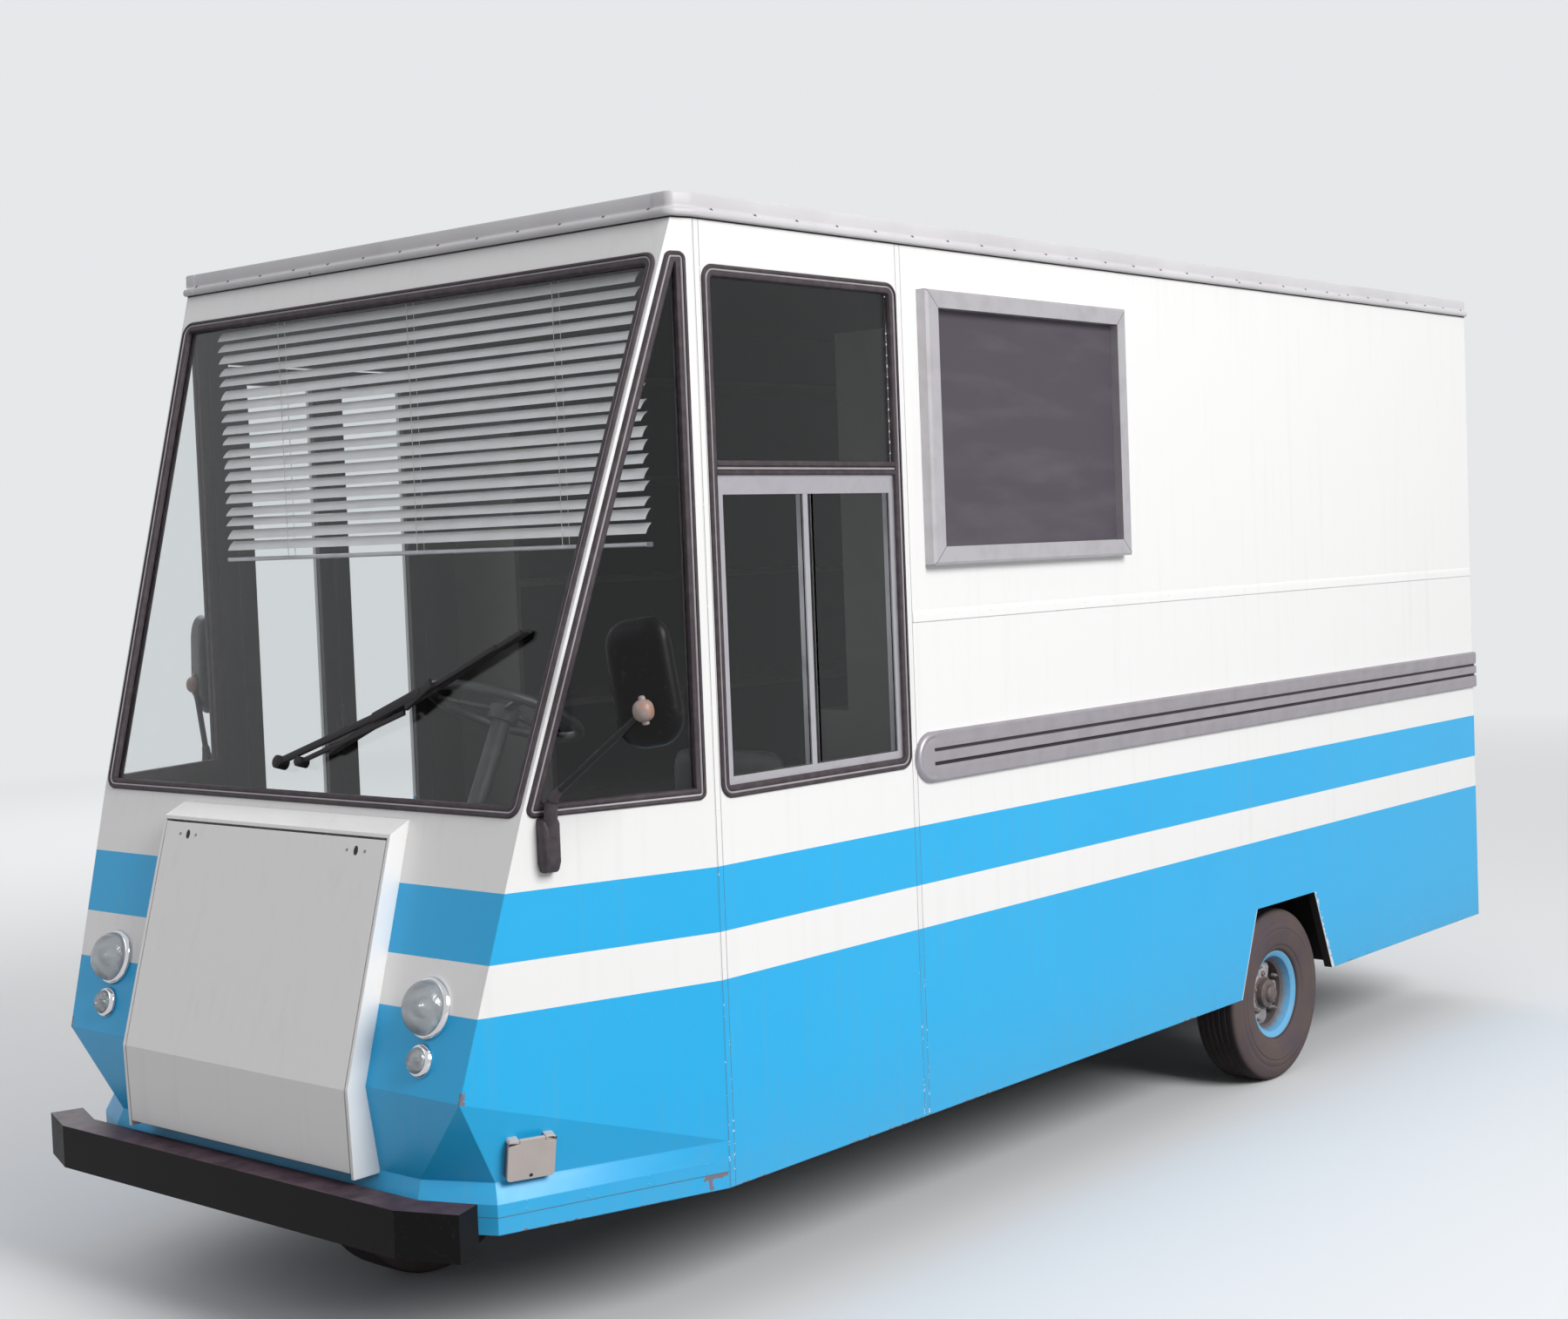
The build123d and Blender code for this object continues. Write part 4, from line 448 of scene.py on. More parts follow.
def tyre_rubber():
    """Weathered rubber: dusty brown grey walls, browner in patches, and a darker tread."""
    matt = {"Roughness": 0.85, "Specular_IOR_Level": 0.3}
    finish, tree, shader = new_finish("tyre_rubber_weathered", "#3A3535", **matt)
    place = add_node(tree, "TexCoord", output="Object")
    dust = add_node(tree, "MapRange", [mottled(tree, place, 90, 4.0), 0.3, 0.75])
    across = add_node(tree, "SeparateXYZ", [add_node(tree, "TexCoord", output="Normal")], "X")
    across = add_node(tree, "Math", [across], operation="ABSOLUTE")
    wall = add_node(tree, "MapRange", [across, 0.35, 0.8])
    tread = layered(tree, "#1B171A", (dust, "#2E282B"))
    side = layered(tree, "#574D53", (dust, "#62554F"))
    skin = raised(tree, mottled(tree, place, 3, 4.0), 0.15)
    wire(tree, shader, Base_Color=layered(tree, tread, (wall, side)), Normal=skin)
    return finish


def window_glass():
    """Thin clear glass with a weak, sharp reflection."""
    return new_finish("toughened_glass_clear", "#F3F5F5", Roughness=0.0, IOR=1.3, Transmission_Weight=1.0)[0]


def chromium():
    """Polished plate: a bright mirror with fine pits that catch dust."""
    finish, tree, shader = new_finish("chromium_plate_polished", "#D8D8DA", Metallic=1.0, Roughness=0.08)
    place = add_node(tree, "TexCoord", output="Object")
    pits = add_node(tree, "MapRange", [mottled(tree, place, 1.8, 6.0), 0.62, 0.7, 0.06, 0.4])
    wire(tree, shader, Roughness=pits)
    return finish


def black_enamel(name, colour, rough, painted_top_light=None, gloss=0.3):
    """Semi-gloss black brushed over steel, scuffed down to grey primer; its upward faces may get a lighter
    colour, unevenly, as a painted highlight.
    """
    finish, tree, shader = new_finish(name, colour, Roughness=rough, Specular_IOR_Level=gloss)
    place = add_node(tree, "TexCoord", output="Object")
    scuff = add_node(tree, "MapRange", [mottled(tree, place, 14, 8.0), 0.6, 0.74, 0.0, 0.6])
    shown = layered(tree, colour, (every(tree, scuff, 0.4), "#4A4247"))
    if painted_top_light:
        # Painted highlight: faces that look up are lightened unevenly towards the given colour
        up = add_node(tree, "SeparateXYZ", [add_node(tree, "TexCoord", output="Normal")], "Z")
        flat = add_node(tree, "MapRange", [up, 0.7, 0.95])
        uneven = add_node(tree, "MapRange", [mottled(tree, place, 50, 5.0), 0.3, 0.6, 0.5, 1.0])
        shown = layered(tree, shown, (every(tree, flat, uneven), painted_top_light))
    dulled = add_node(tree, "MapRange", [scuff, 0.0, 0.6, rough, 0.75])
    skin = raised(tree, mottled(tree, place, 4, 4.0), 0.15, fold=2.0)
    wire(tree, shader, Base_Color=shown, Roughness=dulled, Normal=skin)
    return finish


def plain_enamel(name, colour, rough, speckle, size, amount=0.4):
    """Stoved enamel or moulded plastic with a faint mottle and a fine surface grain."""
    finish, tree, shader = new_finish(name, colour, Roughness=rough)
    place = add_node(tree, "TexCoord", output="Object")
    mottle = add_node(tree, "MapRange", [mottled(tree, place, size, 5.0), 0.35, 0.8, 0.0, amount])
    skin = raised(tree, mottled(tree, place, 1.5), 0.025)
    wire(tree, shader, Base_Color=layered(tree, colour, (mottle, speckle)), Normal=skin)
    return finish


def slate_surface():
    """Matt writing surface: dark violet grey with wiped chalk haze."""
    finish, tree, shader = new_finish("writing_slate_chalky", "#48424B", Roughness=0.8)
    place = add_node(tree, "TexCoord", output="Object")
    wiped = mottled(tree, place, 120, 8.0, stretch=(1, 0.35, 1.6))
    haze = add_node(tree, "MapRange", [wiped, 0.45, 0.85, 0.0, 0.28])
    skin = raised(tree, mottled(tree, place, 2, 4.0), 0.05)
    wire(tree, shader, Base_Color=layered(tree, "#4A434D", (haze, "#7F7A82")), Normal=skin)
    return finish


def grained_vinyl(name, colour, grain=1.8):
    """Calendered vinyl: pebble grain in cells, low gloss on their tops."""
    finish, tree, shader = new_finish(name, colour, Roughness=0.45)
    place = add_node(tree, "TexCoord", output="Object")
    scale = {"Vector": place, "Scale": millimetres(grain)}
    cells = add_node(tree, "TexVoronoi", scale, "Distance", feature="DISTANCE_TO_EDGE")
    pebbles = raised(tree, add_node(tree, "MapRange", [cells, 0.0, 0.3]), 0.02)
    worn = add_node(tree, "MapRange", [mottled(tree, place, 40, 5.0), 0.45, 0.8, 0.0, 0.3])
    wire(tree, shader, Base_Color=layered(tree, colour, (worn, "#5B5654")), Normal=pebbles)
    return finish


def studded_floor():
    """Rubber floor sheet with round studs 25 mm apart and worn tops; the rest is black underbody paint."""
    finish, tree, shader = new_finish("studded_rubber_floor", "#3A3A3C", Roughness=0.7)
    place = add_node(tree, "TexCoord", output="Object")
    scale = {"Vector": place, "Scale": millimetres(25), "Randomness": 0.0}
    stud = add_node(tree, "MapRange", [add_node(tree, "TexVoronoi", scale, "Distance"), 0.34, 0.26])
    facing = add_node(tree, "SeparateXYZ", [add_node(tree, "NewGeometry", output="True Normal")], "Z")
    top = within(tree, facing, low=0.9)
    sheet = layered(tree, "#333335", (stud, "#55544F"))
    dusty = layered(tree, "#131213", (mottled(tree, place, 60, 5.0), "#2B2725"))
    studs = raised(tree, every(tree, stud, top), 1.2)
    wire(tree, shader, Base_Color=layered(tree, dusty, (top, sheet)), Normal=studs)
    return finish


def moulding_aluminium():
    """Satin extruded aluminium, gone dull, with dark rubber in its two slots."""
    finish, tree, shader = new_finish("satin_moulding_aluminium_worn", "#A8A3A9", Roughness=0.45)
    place = add_node(tree, "TexCoord", output="Object")
    along, height = [add_node(tree, "SeparateXYZ", [place], axis) for axis in "YZ"]
    lines = [near(tree, height, MOULDING_Z + shift, 0.0042) for shift in (-MOULDING_SLOT, MOULDING_SLOT)]
    slots = every(tree, either(tree, *lines), within(tree, along, low=SEAM_Y + 0.074))
    dull = add_node(tree, "MapRange", [mottled(tree, place, 60, 5.0), 0.4, 0.8, 0.0, 0.35])
    colour = layered(tree, "#A8A3A9", (dull, "#8C878D"), (slots, "#3B333B"))
    metal = add_node(tree, "Math", [slots, -0.6, 0.6], operation="MULTIPLY_ADD")
    drawn = raised(tree, mottled(tree, place, 1.6, 2.0, stretch=(1, 0.02, 1)), 0.05)
    wire(tree, shader, Base_Color=colour, Metallic=metal, Normal=drawn)
    return finish


def mitred_aluminium():
    """Natural aluminium angle round the writing board, with fine dark mitres at its corners."""
    low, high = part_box("board_frame")
    middle, half = (low + high) / 2, (high - low) / 2
    finish, tree, shader = new_finish("mitred_aluminium_angle", "#C2BFC2", Metallic=0.7, Roughness=0.4)
    place = add_node(tree, "TexCoord", output="Object")
    reach = []
    for i, axis in ((1, "Y"), (2, "Z")):
        away = add_node(tree, "SeparateXYZ", [place], axis)
        away = add_node(tree, "Math", [away, middle[i]], operation="SUBTRACT")
        away = add_node(tree, "Math", [away], operation="ABSOLUTE")
        reach.append(add_node(tree, "Math", [away, half[i]], operation="SUBTRACT"))
    mitre = near(tree, add_node(tree, "Math", reach, operation="SUBTRACT"), 0.0, 0.0012)
    dull = add_node(tree, "MapRange", [mottled(tree, place, 60, 5.0), 0.45, 0.8, 0.0, 0.35])
    colour = layered(tree, "#C4C1C4", (dull, "#9C989B"), (mitre, "#5A555A"))
    wire(tree, shader, Base_Color=colour, Normal=raised(tree, mottled(tree, place, 1.6, 2.0), 0.04))
    return finish


# Meshes worked out as arrays
def quads(rows, columns, wrap_rows, wrap_columns):
    """Corner numbers of the faces of a grid, row by row, closed round where asked."""
    i = np.arange(rows if wrap_rows else rows - 1)
    j = np.arange(columns if wrap_columns else columns - 1)
    i, j = np.meshgrid(i, j, indexing="ij")
    after_i, after_j = (i + 1) % rows, (j + 1) % columns
    corners = [i * columns + j, after_i * columns + j, after_i * columns + after_j, i * columns + after_j]
    return np.stack(corners, axis=-1).reshape(-1, 4)


def surface(points, wrap_rows=False, wrap_columns=False, cap_rows=False, cap_columns=False, flip=False):
    """One grid of points with its faces: caps close its first and last row or column with one face each."""
    rows, columns = points.shape[:2]
    faces = quads(rows, columns, wrap_rows, wrap_columns)
    if flip:
        faces = faces[:, ::-1]
    faces = faces.tolist()
    index = np.arange(rows * columns).reshape(rows, columns)
    ends = []
    if cap_rows:
        ends += [index[0], index[-1][::-1]]
    if cap_columns:
        ends += [index[:, 0][::-1], index[:, -1]]
    faces += [(end[::-1] if flip else end).tolist() for end in ends]
    return points.reshape(-1, 3), faces


def make_piece(name, surfaces, finish, body, replaced=(), crease=35, tidy=True):
    """One object from several surfaces, in place, riding on its body; a tidy one has its normals cleaned."""
    points, faces, start = [], [], 0
    for grid, corners in surfaces:
        points.append(grid)
        faces += [[corner + start for corner in face] for face in corners]
        start += len(grid)
    mesh = bpy.data.meshes.new(name)
    mesh.from_pydata(np.concatenate(points).tolist(), [], faces)
    mesh.validate()
    piece = bpy.data.objects.new(name, mesh)
    bpy.context.scene.collection.objects.link(piece)
    if tidy:
        clean_normals(mesh)
    mesh.materials.append(finish)
    mesh.shade_smooth()
    mesh.set_sharp_from_angle(angle=math.radians(crease))
    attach(piece, body)
    if replaced:
        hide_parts(*replaced)
    return piece


def clean_normals(mesh):
    """Merges doubled points and turns every face outwards."""
    work = bmesh.new()
    work.from_mesh(mesh)
    bmesh.ops.remove_doubles(work, verts=work.verts, dist=1e-5)
    bmesh.ops.recalc_face_normals(work, faces=work.faces)
    work.to_mesh(mesh)
    work.free()


def mirrored(surfaces):
    """The same surfaces on the other side of the van, with their faces turned back outwards."""
    flipped = []
    for points, faces in surfaces:
        flipped.append((points * np.array([-1, 1, 1]), [face[::-1] for face in faces]))
    return flipped


def revolved(profile, origin, axis, start, steps=64, closed=False):
    """Profile of (radius, height) points turned about an axis: x = r cos a, y = r sin a, z = h."""
    axis = np.array(axis, float) / np.linalg.norm(axis)
    across = np.array(start, float)
    across = across - axis * np.dot(across, axis)
    across /= np.linalg.norm(across)
    aside = np.cross(axis, across)
    angle = np.linspace(0, 2 * math.pi, steps, endpoint=False)[:, None, None]
    radius, height = np.array(profile, float).T[:, None, :, None]
    points = np.array(origin) + radius * (np.cos(angle) * across + np.sin(angle) * aside) + height * axis
    return surface(points, wrap_rows=True, wrap_columns=closed)


def rounded_loop(corners, radius, steps=8):
    """Closed outline whose corners are arcs: centre plus radius times (cos a, sin a) over each turn."""
    corners = np.array(corners, float)
    before = np.roll(corners, 1, axis=0) - corners
    after = np.roll(corners, -1, axis=0) - corners
    before /= np.linalg.norm(before, axis=1)[:, None]
    after /= np.linalg.norm(after, axis=1)[:, None]
    half = np.arccos(np.clip((before * after).sum(axis=1), -1, 1)) / 2
    middle = (before + after) / np.linalg.norm(before + after, axis=1)[:, None]
    centre = corners + middle * (radius / np.sin(half))[:, None]
    first = corners + before * (radius / np.tan(half))[:, None] - centre
    sweep = math.pi - 2 * half
    turn = np.sign(-before[:, 0] * after[:, 1] + before[:, 1] * after[:, 0])
    angle = np.linspace(0, 1, steps)[None, :] * (sweep * turn)[:, None]
    x = first[:, 0, None] * np.cos(angle) - first[:, 1, None] * np.sin(angle)
    y = first[:, 0, None] * np.sin(angle) + first[:, 1, None] * np.cos(angle)
    return (centre[:, None, :] + np.stack([x, y], axis=-1)).reshape(-1, 2)


def loop_normals(loop, closed=True):
    """Outward direction at each point of a counter-clockwise outline, long enough to keep mitres even."""
    ahead = np.roll(loop, -1, axis=0) - loop
    behind = loop - np.roll(loop, 1, axis=0)
    if not closed:
        ahead[-1], behind[0] = behind[-1], ahead[0]
    ahead /= np.maximum(np.linalg.norm(ahead, axis=1), 1e-9)[:, None]
    behind /= np.maximum(np.linalg.norm(behind, axis=1), 1e-9)[:, None]
    tangent = ahead + behind
    tangent /= np.linalg.norm(tangent, axis=1)[:, None]
    lengthen = 1 / np.maximum((tangent * ahead).sum(axis=1), 0.3)
    return np.stack([tangent[:, 1], -tangent[:, 0]], axis=-1) * lengthen[:, None]


def swept_loop(face, loop, profile, closed=True):
    """Closed profile of (outward, height) points carried along an outline on a face."""
    out = loop_normals(loop, closed)
    across, lift = np.array(profile, float).T
    flat = loop[:, None, :] + out[:, None, :] * across[None, :, None]
    points = face.place(flat[..., 0], flat[..., 1], np.broadcast_to(lift, flat.shape[:2]))
    return surface(points, wrap_rows=closed, wrap_columns=True, cap_rows=not closed)


def smoothed(points, times=2):
    """Open line whose corners are cut: each run keeps its points at a quarter and three quarters."""
    points = np.array(points, float)
    for _ in range(times):
        near_end = 0.75 * points[:-1] + 0.25 * points[1:]
        far_end = 0.25 * points[:-1] + 0.75 * points[1:]
        middle = np.stack([near_end, far_end], axis=1).reshape(-1, points.shape[1])
        points = np.concatenate([points[:1], middle, points[-1:]])
    return points


def swept_bar(start, end, profile, up=(0, 0, 1)):
    """Closed profile of (across, up) points drawn straight from one point to another, with flat ends."""
    start, end = np.array(start, float), np.array(end, float)
    along = (end - start) / np.linalg.norm(end - start)
    across = np.cross(along, np.array(up, float))
    across /= np.linalg.norm(across)
    upward = np.cross(across, along)
    shape = np.array(profile, float)
    offsets = shape[:, :1] * across + shape[:, 1:] * upward
    return surface(np.stack([start + offsets, end + offsets]), wrap_columns=True, cap_rows=True, flip=True)


def tube(points, radius, steps=16):
    """Round tube through points: each ring stands square to the mean of its two runs."""
    points = np.array(points, float)
    run = np.diff(points, axis=0)
    run /= np.linalg.norm(run, axis=1)[:, None]
    along = np.vstack([run[:1], run[:-1] + run[1:], run[-1:]])
    along /= np.linalg.norm(along, axis=1)[:, None]
    guide = np.array([0.31, 0.22, 0.93])
    across = np.cross(along, guide)
    across /= np.linalg.norm(across, axis=1)[:, None]
    aside = np.cross(along, across)
    angle = np.linspace(0, 2 * math.pi, steps, endpoint=False)[None, :, None]
    radius = np.broadcast_to(np.array(radius, float), (len(points),))[:, None, None]
    ring = np.cos(angle) * across[:, None, :] + np.sin(angle) * aside[:, None, :]
    return surface(points[:, None, :] + radius * ring, wrap_columns=True, cap_rows=True, flip=True)


def bent_path(points, radius, steps=6):
    """Path whose inner corners are cut by quadratic curves: (1-t)^2 a + 2t(1-t) corner + t^2 b."""
    points = np.array(points, float)
    t = np.linspace(0, 1, steps)[:, None]
    path = [points[:1]]
    for before, corner, after in zip(points[:-2], points[1:-1], points[2:]):
        a = corner + (before - corner) / np.linalg.norm(before - corner) * radius
        b = corner + (after - corner) / np.linalg.norm(after - corner) * radius
        path.append((1 - t) ** 2 * a + 2 * t * (1 - t) * corner + t ** 2 * b)
    path.append(points[-1:])
    return np.concatenate(path)


def round_box_profile(width, height, radius, steps=4):
    """Rounded rectangle about its middle."""
    w, h = width / 2, height / 2
    return rounded_loop([(-w, -h), (w, -h), (w, h), (-w, h)], radius, steps)


def domes(places, outward, radius, height, rings=3, steps=8):
    """Many small domes: radius times cos t across and height times sin t out, for t up to a right angle."""
    places = np.atleast_2d(places)
    outward = np.broadcast_to(np.array(outward, float), places.shape)
    outward = outward / np.linalg.norm(outward, axis=1)[:, None]
    guide = np.where(np.abs(outward[:, 2:]) < 0.9, [[0.0, 0.0, 1.0]], [[1.0, 0.0, 0.0]])
    across = np.cross(outward, guide)
    across /= np.linalg.norm(across, axis=1)[:, None]
    aside = np.cross(outward, across)
    t = np.linspace(0, math.pi / 2 * 0.94, rings)[None, :, None, None]
    a = np.linspace(0, 2 * math.pi, steps, endpoint=False)[None, None, :, None]
    ring = np.cos(a) * across[:, None, None, :] + np.sin(a) * aside[:, None, None, :]
    rise = height * np.sin(t) * outward[:, None, None, :]
    points = places[:, None, None, :] + radius * np.cos(t) * ring + rise
    base = quads(rings, steps, False, True)
    starts = (np.arange(len(places)) * rings * steps)[:, None, None]
    faces = (base[None] + starts).reshape(-1, 4)[:, ::-1].tolist()
    tops = np.arange(steps) + (rings - 1) * steps
    faces += (tops[None, :] + starts[:, 0]).tolist()
    return points.reshape(-1, 3), faces


def spaced(low, high, pitch):
    """Evenly spaced places between two ends, close to the pitch."""
    count = max(2, round((high - low) / pitch) + 1)
    return np.linspace(low, high, count)


# Settings that a user would change
def length(name, description, default):
    """Setting that holds a length in metres."""
    return bpy.props.FloatProperty(name=name, description=description, default=default, unit="LENGTH")


class VanPaint(bpy.types.PropertyGroup):
    """Colours and bands of the body."""
    white: bpy.props.StringProperty(name="White", description="Body enamel, sRGB hex", default="#F1F0EF")
    blue: bpy.props.StringProperty(name="Blue", description="Band enamel, sRGB hex", default="#08ACE9")
    band_low: length("Upper band bottom", "Lower edge of the upper blue band", 0.948)
    band_high: length("Upper band top", "Upper edge of the upper blue band", 1.105)
    skirt_high: length("Lower blue top", "Upper edge of the lower blue area", 0.832)


class VanTrim(bpy.types.PropertyGroup):
    """Rivets, seams and strips."""
    rivet_pitch: length("Rivet pitch", "Distance between rivets on the roof rail", 0.155)
    rivet_radius: length("Rivet radius", "Radius of a rivet head", 0.0045)
    lap_height: length("Lap seam height", "Height of the lapped seam on the box", 1.647)
    strip_width: length("Seal strip width", "Width of the bright strip in the seals", 0.005)


class VanWheels(bpy.types.PropertyGroup):
    """Tyres and rims."""
    tyre_radius: length("Tyre radius", "Outer radius of the tyres", 0.288)
    groove_depth: length("Groove depth", "Depth of the tread grooves", 0.006)
    rim_colour: bpy.props.StringProperty(name="Rim", description="Rim enamel, sRGB hex", default="#5FAEDD")


class VanCabin(bpy.types.PropertyGroup):
    """Blind and seat."""
    slats: bpy.props.IntProperty(name="Slats", description="Slats of the blind", default=19, min=2)
    slat_width: length("Slat width", "Width of one slat", 0.033)
    swell: length("Seat swell", "How far the stuffing may push the cover", 0.012)


def finish_of(name):
    """A finish made earlier."""
    return bpy.data.materials[name]


def give(finish, *nodes):
    """Gives a finish to CAD nodes."""
    for name in nodes:
        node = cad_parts[name]
        node.data.materials.clear()
        node.data.materials.append(finish)


class VAN_OT_paint(bpy.types.Operator):
    """Gives the body panels their enamel and the other CAD pieces their finishes."""
    bl_idname = "van.paint"
    bl_label = "Paint and finishes"

    def execute(self, context):
        paint = context.scene.van_paint
        bands = [(paint.band_low, paint.band_high), (0.0, paint.skirt_high)]
        body = sprayed_enamel("sprayed_enamel_white_and_sky_blue", paint.white, paint.blue, bands, True)
        doors = sprayed_enamel("sprayed_enamel_doors", paint.white, paint.blue, bands)
        white = sprayed_enamel("sprayed_enamel_white", paint.white)
        give(body, "nose_shell", "cab_side_left", "door_frame_right")
        give(body, "box_side_left", "box_side_right", "rear_wall")
        give(doors, "door_leaf_rear", "door_leaf_front")
        give(white, "bonnet_frame", "bonnet_panel")
        give(roof_coating(), "roof_panel")
        give(rail_enamel(), "roof_trim")
        give(window_glass(), "windscreen_glass", "side_glass", "door_glass_rear", "door_glass_front")
        give(satin_aluminium("satin_anodised_aluminium", "#BDBABF"), "side_window_frame")
        give(mitred_aluminium(), "board_frame")
        give(slate_surface(), "board_slate")
        # The bumpers' upward faces get #54454D as a painted highlight
        give(black_enamel("black_bumper_enamel_worn_painted_top_light", "#0A080A", 0.5, "#54454D", 0.12), "bumpers")
        grey = plain_enamel("warm_grey_moulded_plastic", "#C3B9B5", 0.5, "#ADA29C", 60)
        give(grey, "charge_inlet", "charge_flap")
        under = plain_enamel("matt_black_underbody_paint", "#1B1B1C", 0.7, "#3A3631", 60)
        give(under, "chassis_frame", "rear_axle", "steer_fork", "driver_seat")
        give(plain_enamel("grey_machinery_enamel", "#5A6066", 0.4, "#3C3F42", 50), "drive_motor")
        give(plain_enamel("black_battery_case_plastic", "#242426", 0.5, "#3A3A3C", 40), "battery_block")
        give(studded_floor(), "floor_pan")
        give(plain_enamel("grey_stoved_shelf_enamel", "#4C4846", 0.45, "#3A3735", 90), "shelf_racks")
        vinyl = grained_vinyl("grained_dash_vinyl", "#2A292B")
        give(vinyl, "dashboard", "steering_wheel")
        moulded_rubber("moulded_rubber_black")
        chromium()
        plain_enamel("galvanised_steel_dull", "#8F8D8A", 0.5, "#7A5B45", 12, 0.7)
        black_enamel("black_arm_enamel", "#1C181B", 0.5)
        return {"FINISHED"}


class VAN_OT_stage(bpy.types.Operator):
    """Sets the pale floor, the soft studio light and the camera."""
    bl_idname = "van.stage"
    bl_label = "Studio"

    def execute(self, context):
        scene = context.scene
        scene.view_settings.view_transform = "Standard"
        self.floor()
        self.world(scene)
        self.lights(scene)
        self.camera(scene)
        return {"FINISHED"}

    def floor(self):
        """Pale paper floor that runs into the backdrop; it throws less light back up than it shows."""
        reach = 60.0
        corners = [(-reach, -reach, 0), (reach, -reach, 0), (reach, reach, 0), (-reach, reach, 0)]
        mesh = bpy.data.meshes.new("studio_floor")
        mesh.from_pydata(corners, [], [(0, 1, 2, 3)])
        floor = bpy.data.objects.new("studio_floor", mesh)
        bpy.context.scene.collection.objects.link(floor)
        matt = {"Roughness": 0.9, "Specular_IOR_Level": 0.2}
        finish, tree, shader = new_finish("studio_floor_paper", BACKDROP, **matt)
        seen = self.seen(tree)
        wire(tree, shader, Base_Color=layered(tree, "#8F8F8F", (seen, "#E3E4E5")))
        place = add_node(tree, "TexCoord", output="Object")
        away = add_node(tree, "VectorMath", [place], "Value", operation="LENGTH")
        far = every(tree, add_node(tree, "MapRange", [away, 6.0, 15.0]), seen)
        glow = add_node(tree, "Emission", {"Color": BACKDROP, "Strength": 1.0})
        mix = add_node(tree, "MixShader", [far, shader.outputs[0], glow])
        tree.links.new(mix, tree.nodes["Material Output"].inputs["Surface"])
        mesh.materials.append(finish)

    def seen(self, tree):
        """One for what the camera, gloss and glass see, else nothing."""
        path = add_node(tree, "LightPath").node.outputs
        return either(tree, path["Is Camera Ray"], path["Is Transmission Ray"], path["Is Glossy Ray"])

    def world(self, scene):
        """Soft light, stronger from above; what the camera, gloss and glass see of it is a pale backdrop."""
        world = bpy.data.worlds.new("studio_world")
        scene.world = world
        world.use_nodes = True
        tree = world.node_tree
        tree.nodes.clear()
        up = add_node(tree, "SeparateXYZ", [add_node(tree, "TexCoord", output="Generated")], "Z")
        power = add_node(tree, "MapRange", [up, 0.0, 1.0, 0.22, 0.80])
        light = add_node(tree, "Background", {"Color": "#F3F3F4", "Strength": power})
        shown = add_node(tree, "Background", {"Color": BACKDROP, "Strength": 1.0})
        mix = add_node(tree, "MixShader", [self.seen(tree), light, shown])
        tree.links.new(mix, tree.nodes.new("ShaderNodeOutputWorld").inputs["Surface"])

    def lights(self, scene):
        """A wide key on the driver's side, a weak fill in front of the nose and one on the door side."""
        aims = [
            ("key_light", (13.0, -2.0, 9.0), (0.9, 0.0, 1.3), 7.5, 1850.0, "#FFFFFF"),
            ("front_fill", (-2.5, -9.0, 6.5), (0.0, -2.0, 1.2), 5.0, 60.0, "#F2F1FF"),
            ("far_fill", (-11.0, 4.0, 7.0), (-1.0, 0.0, 1.3), 8.0, 420.0, "#FFFFFF"),
        ]
        for name, place, aim, size, power, colour in aims:
            lamp = bpy.data.lights.new(name, "AREA")
            lamp.shape = "DISK"
            lamp.size = size
            lamp.energy = power
            lamp.color = linear(colour)[:3]
            holder = bpy.data.objects.new(name, lamp)
            scene.collection.objects.link(holder)
            holder.location = place
            look = Vector(aim) - Vector(place)
            holder.rotation_euler = look.to_track_quat("-Z", "Y").to_euler()

    def camera(self, scene):
        """The photograph's view point: turned by yaw, tipped down by pitch and rolled a little."""
        yaw, pitch, roll = math.radians(38.965), math.radians(2.501), math.radians(-2.07)
        flat = math.cos(pitch)
        ahead = np.array([-math.sin(yaw) * flat, math.cos(yaw) * flat, -math.sin(pitch)])
        level = np.array([math.cos(yaw), math.sin(yaw), 0.0])
        above = np.cross(level, ahead)
        right = math.cos(roll) * level + math.sin(roll) * above
        up = -math.sin(roll) * level + math.cos(roll) * above
        data = bpy.data.cameras.new("photo_view")
        data.sensor_width = 36.0
        data.lens = 50.65
        data.shift_x = -0.0718
        data.shift_y = -0.0157
        data.clip_end = 200.0
        camera = bpy.data.objects.new("photo_view", data)
        scene.collection.objects.link(camera)
        turn = Matrix([[right[i], up[i], -ahead[i]] for i in range(3)]).to_4x4()
        camera.matrix_world = Matrix.Translation((4.6302, -5.5662, 1.8706)) @ turn
        scene.camera = camera


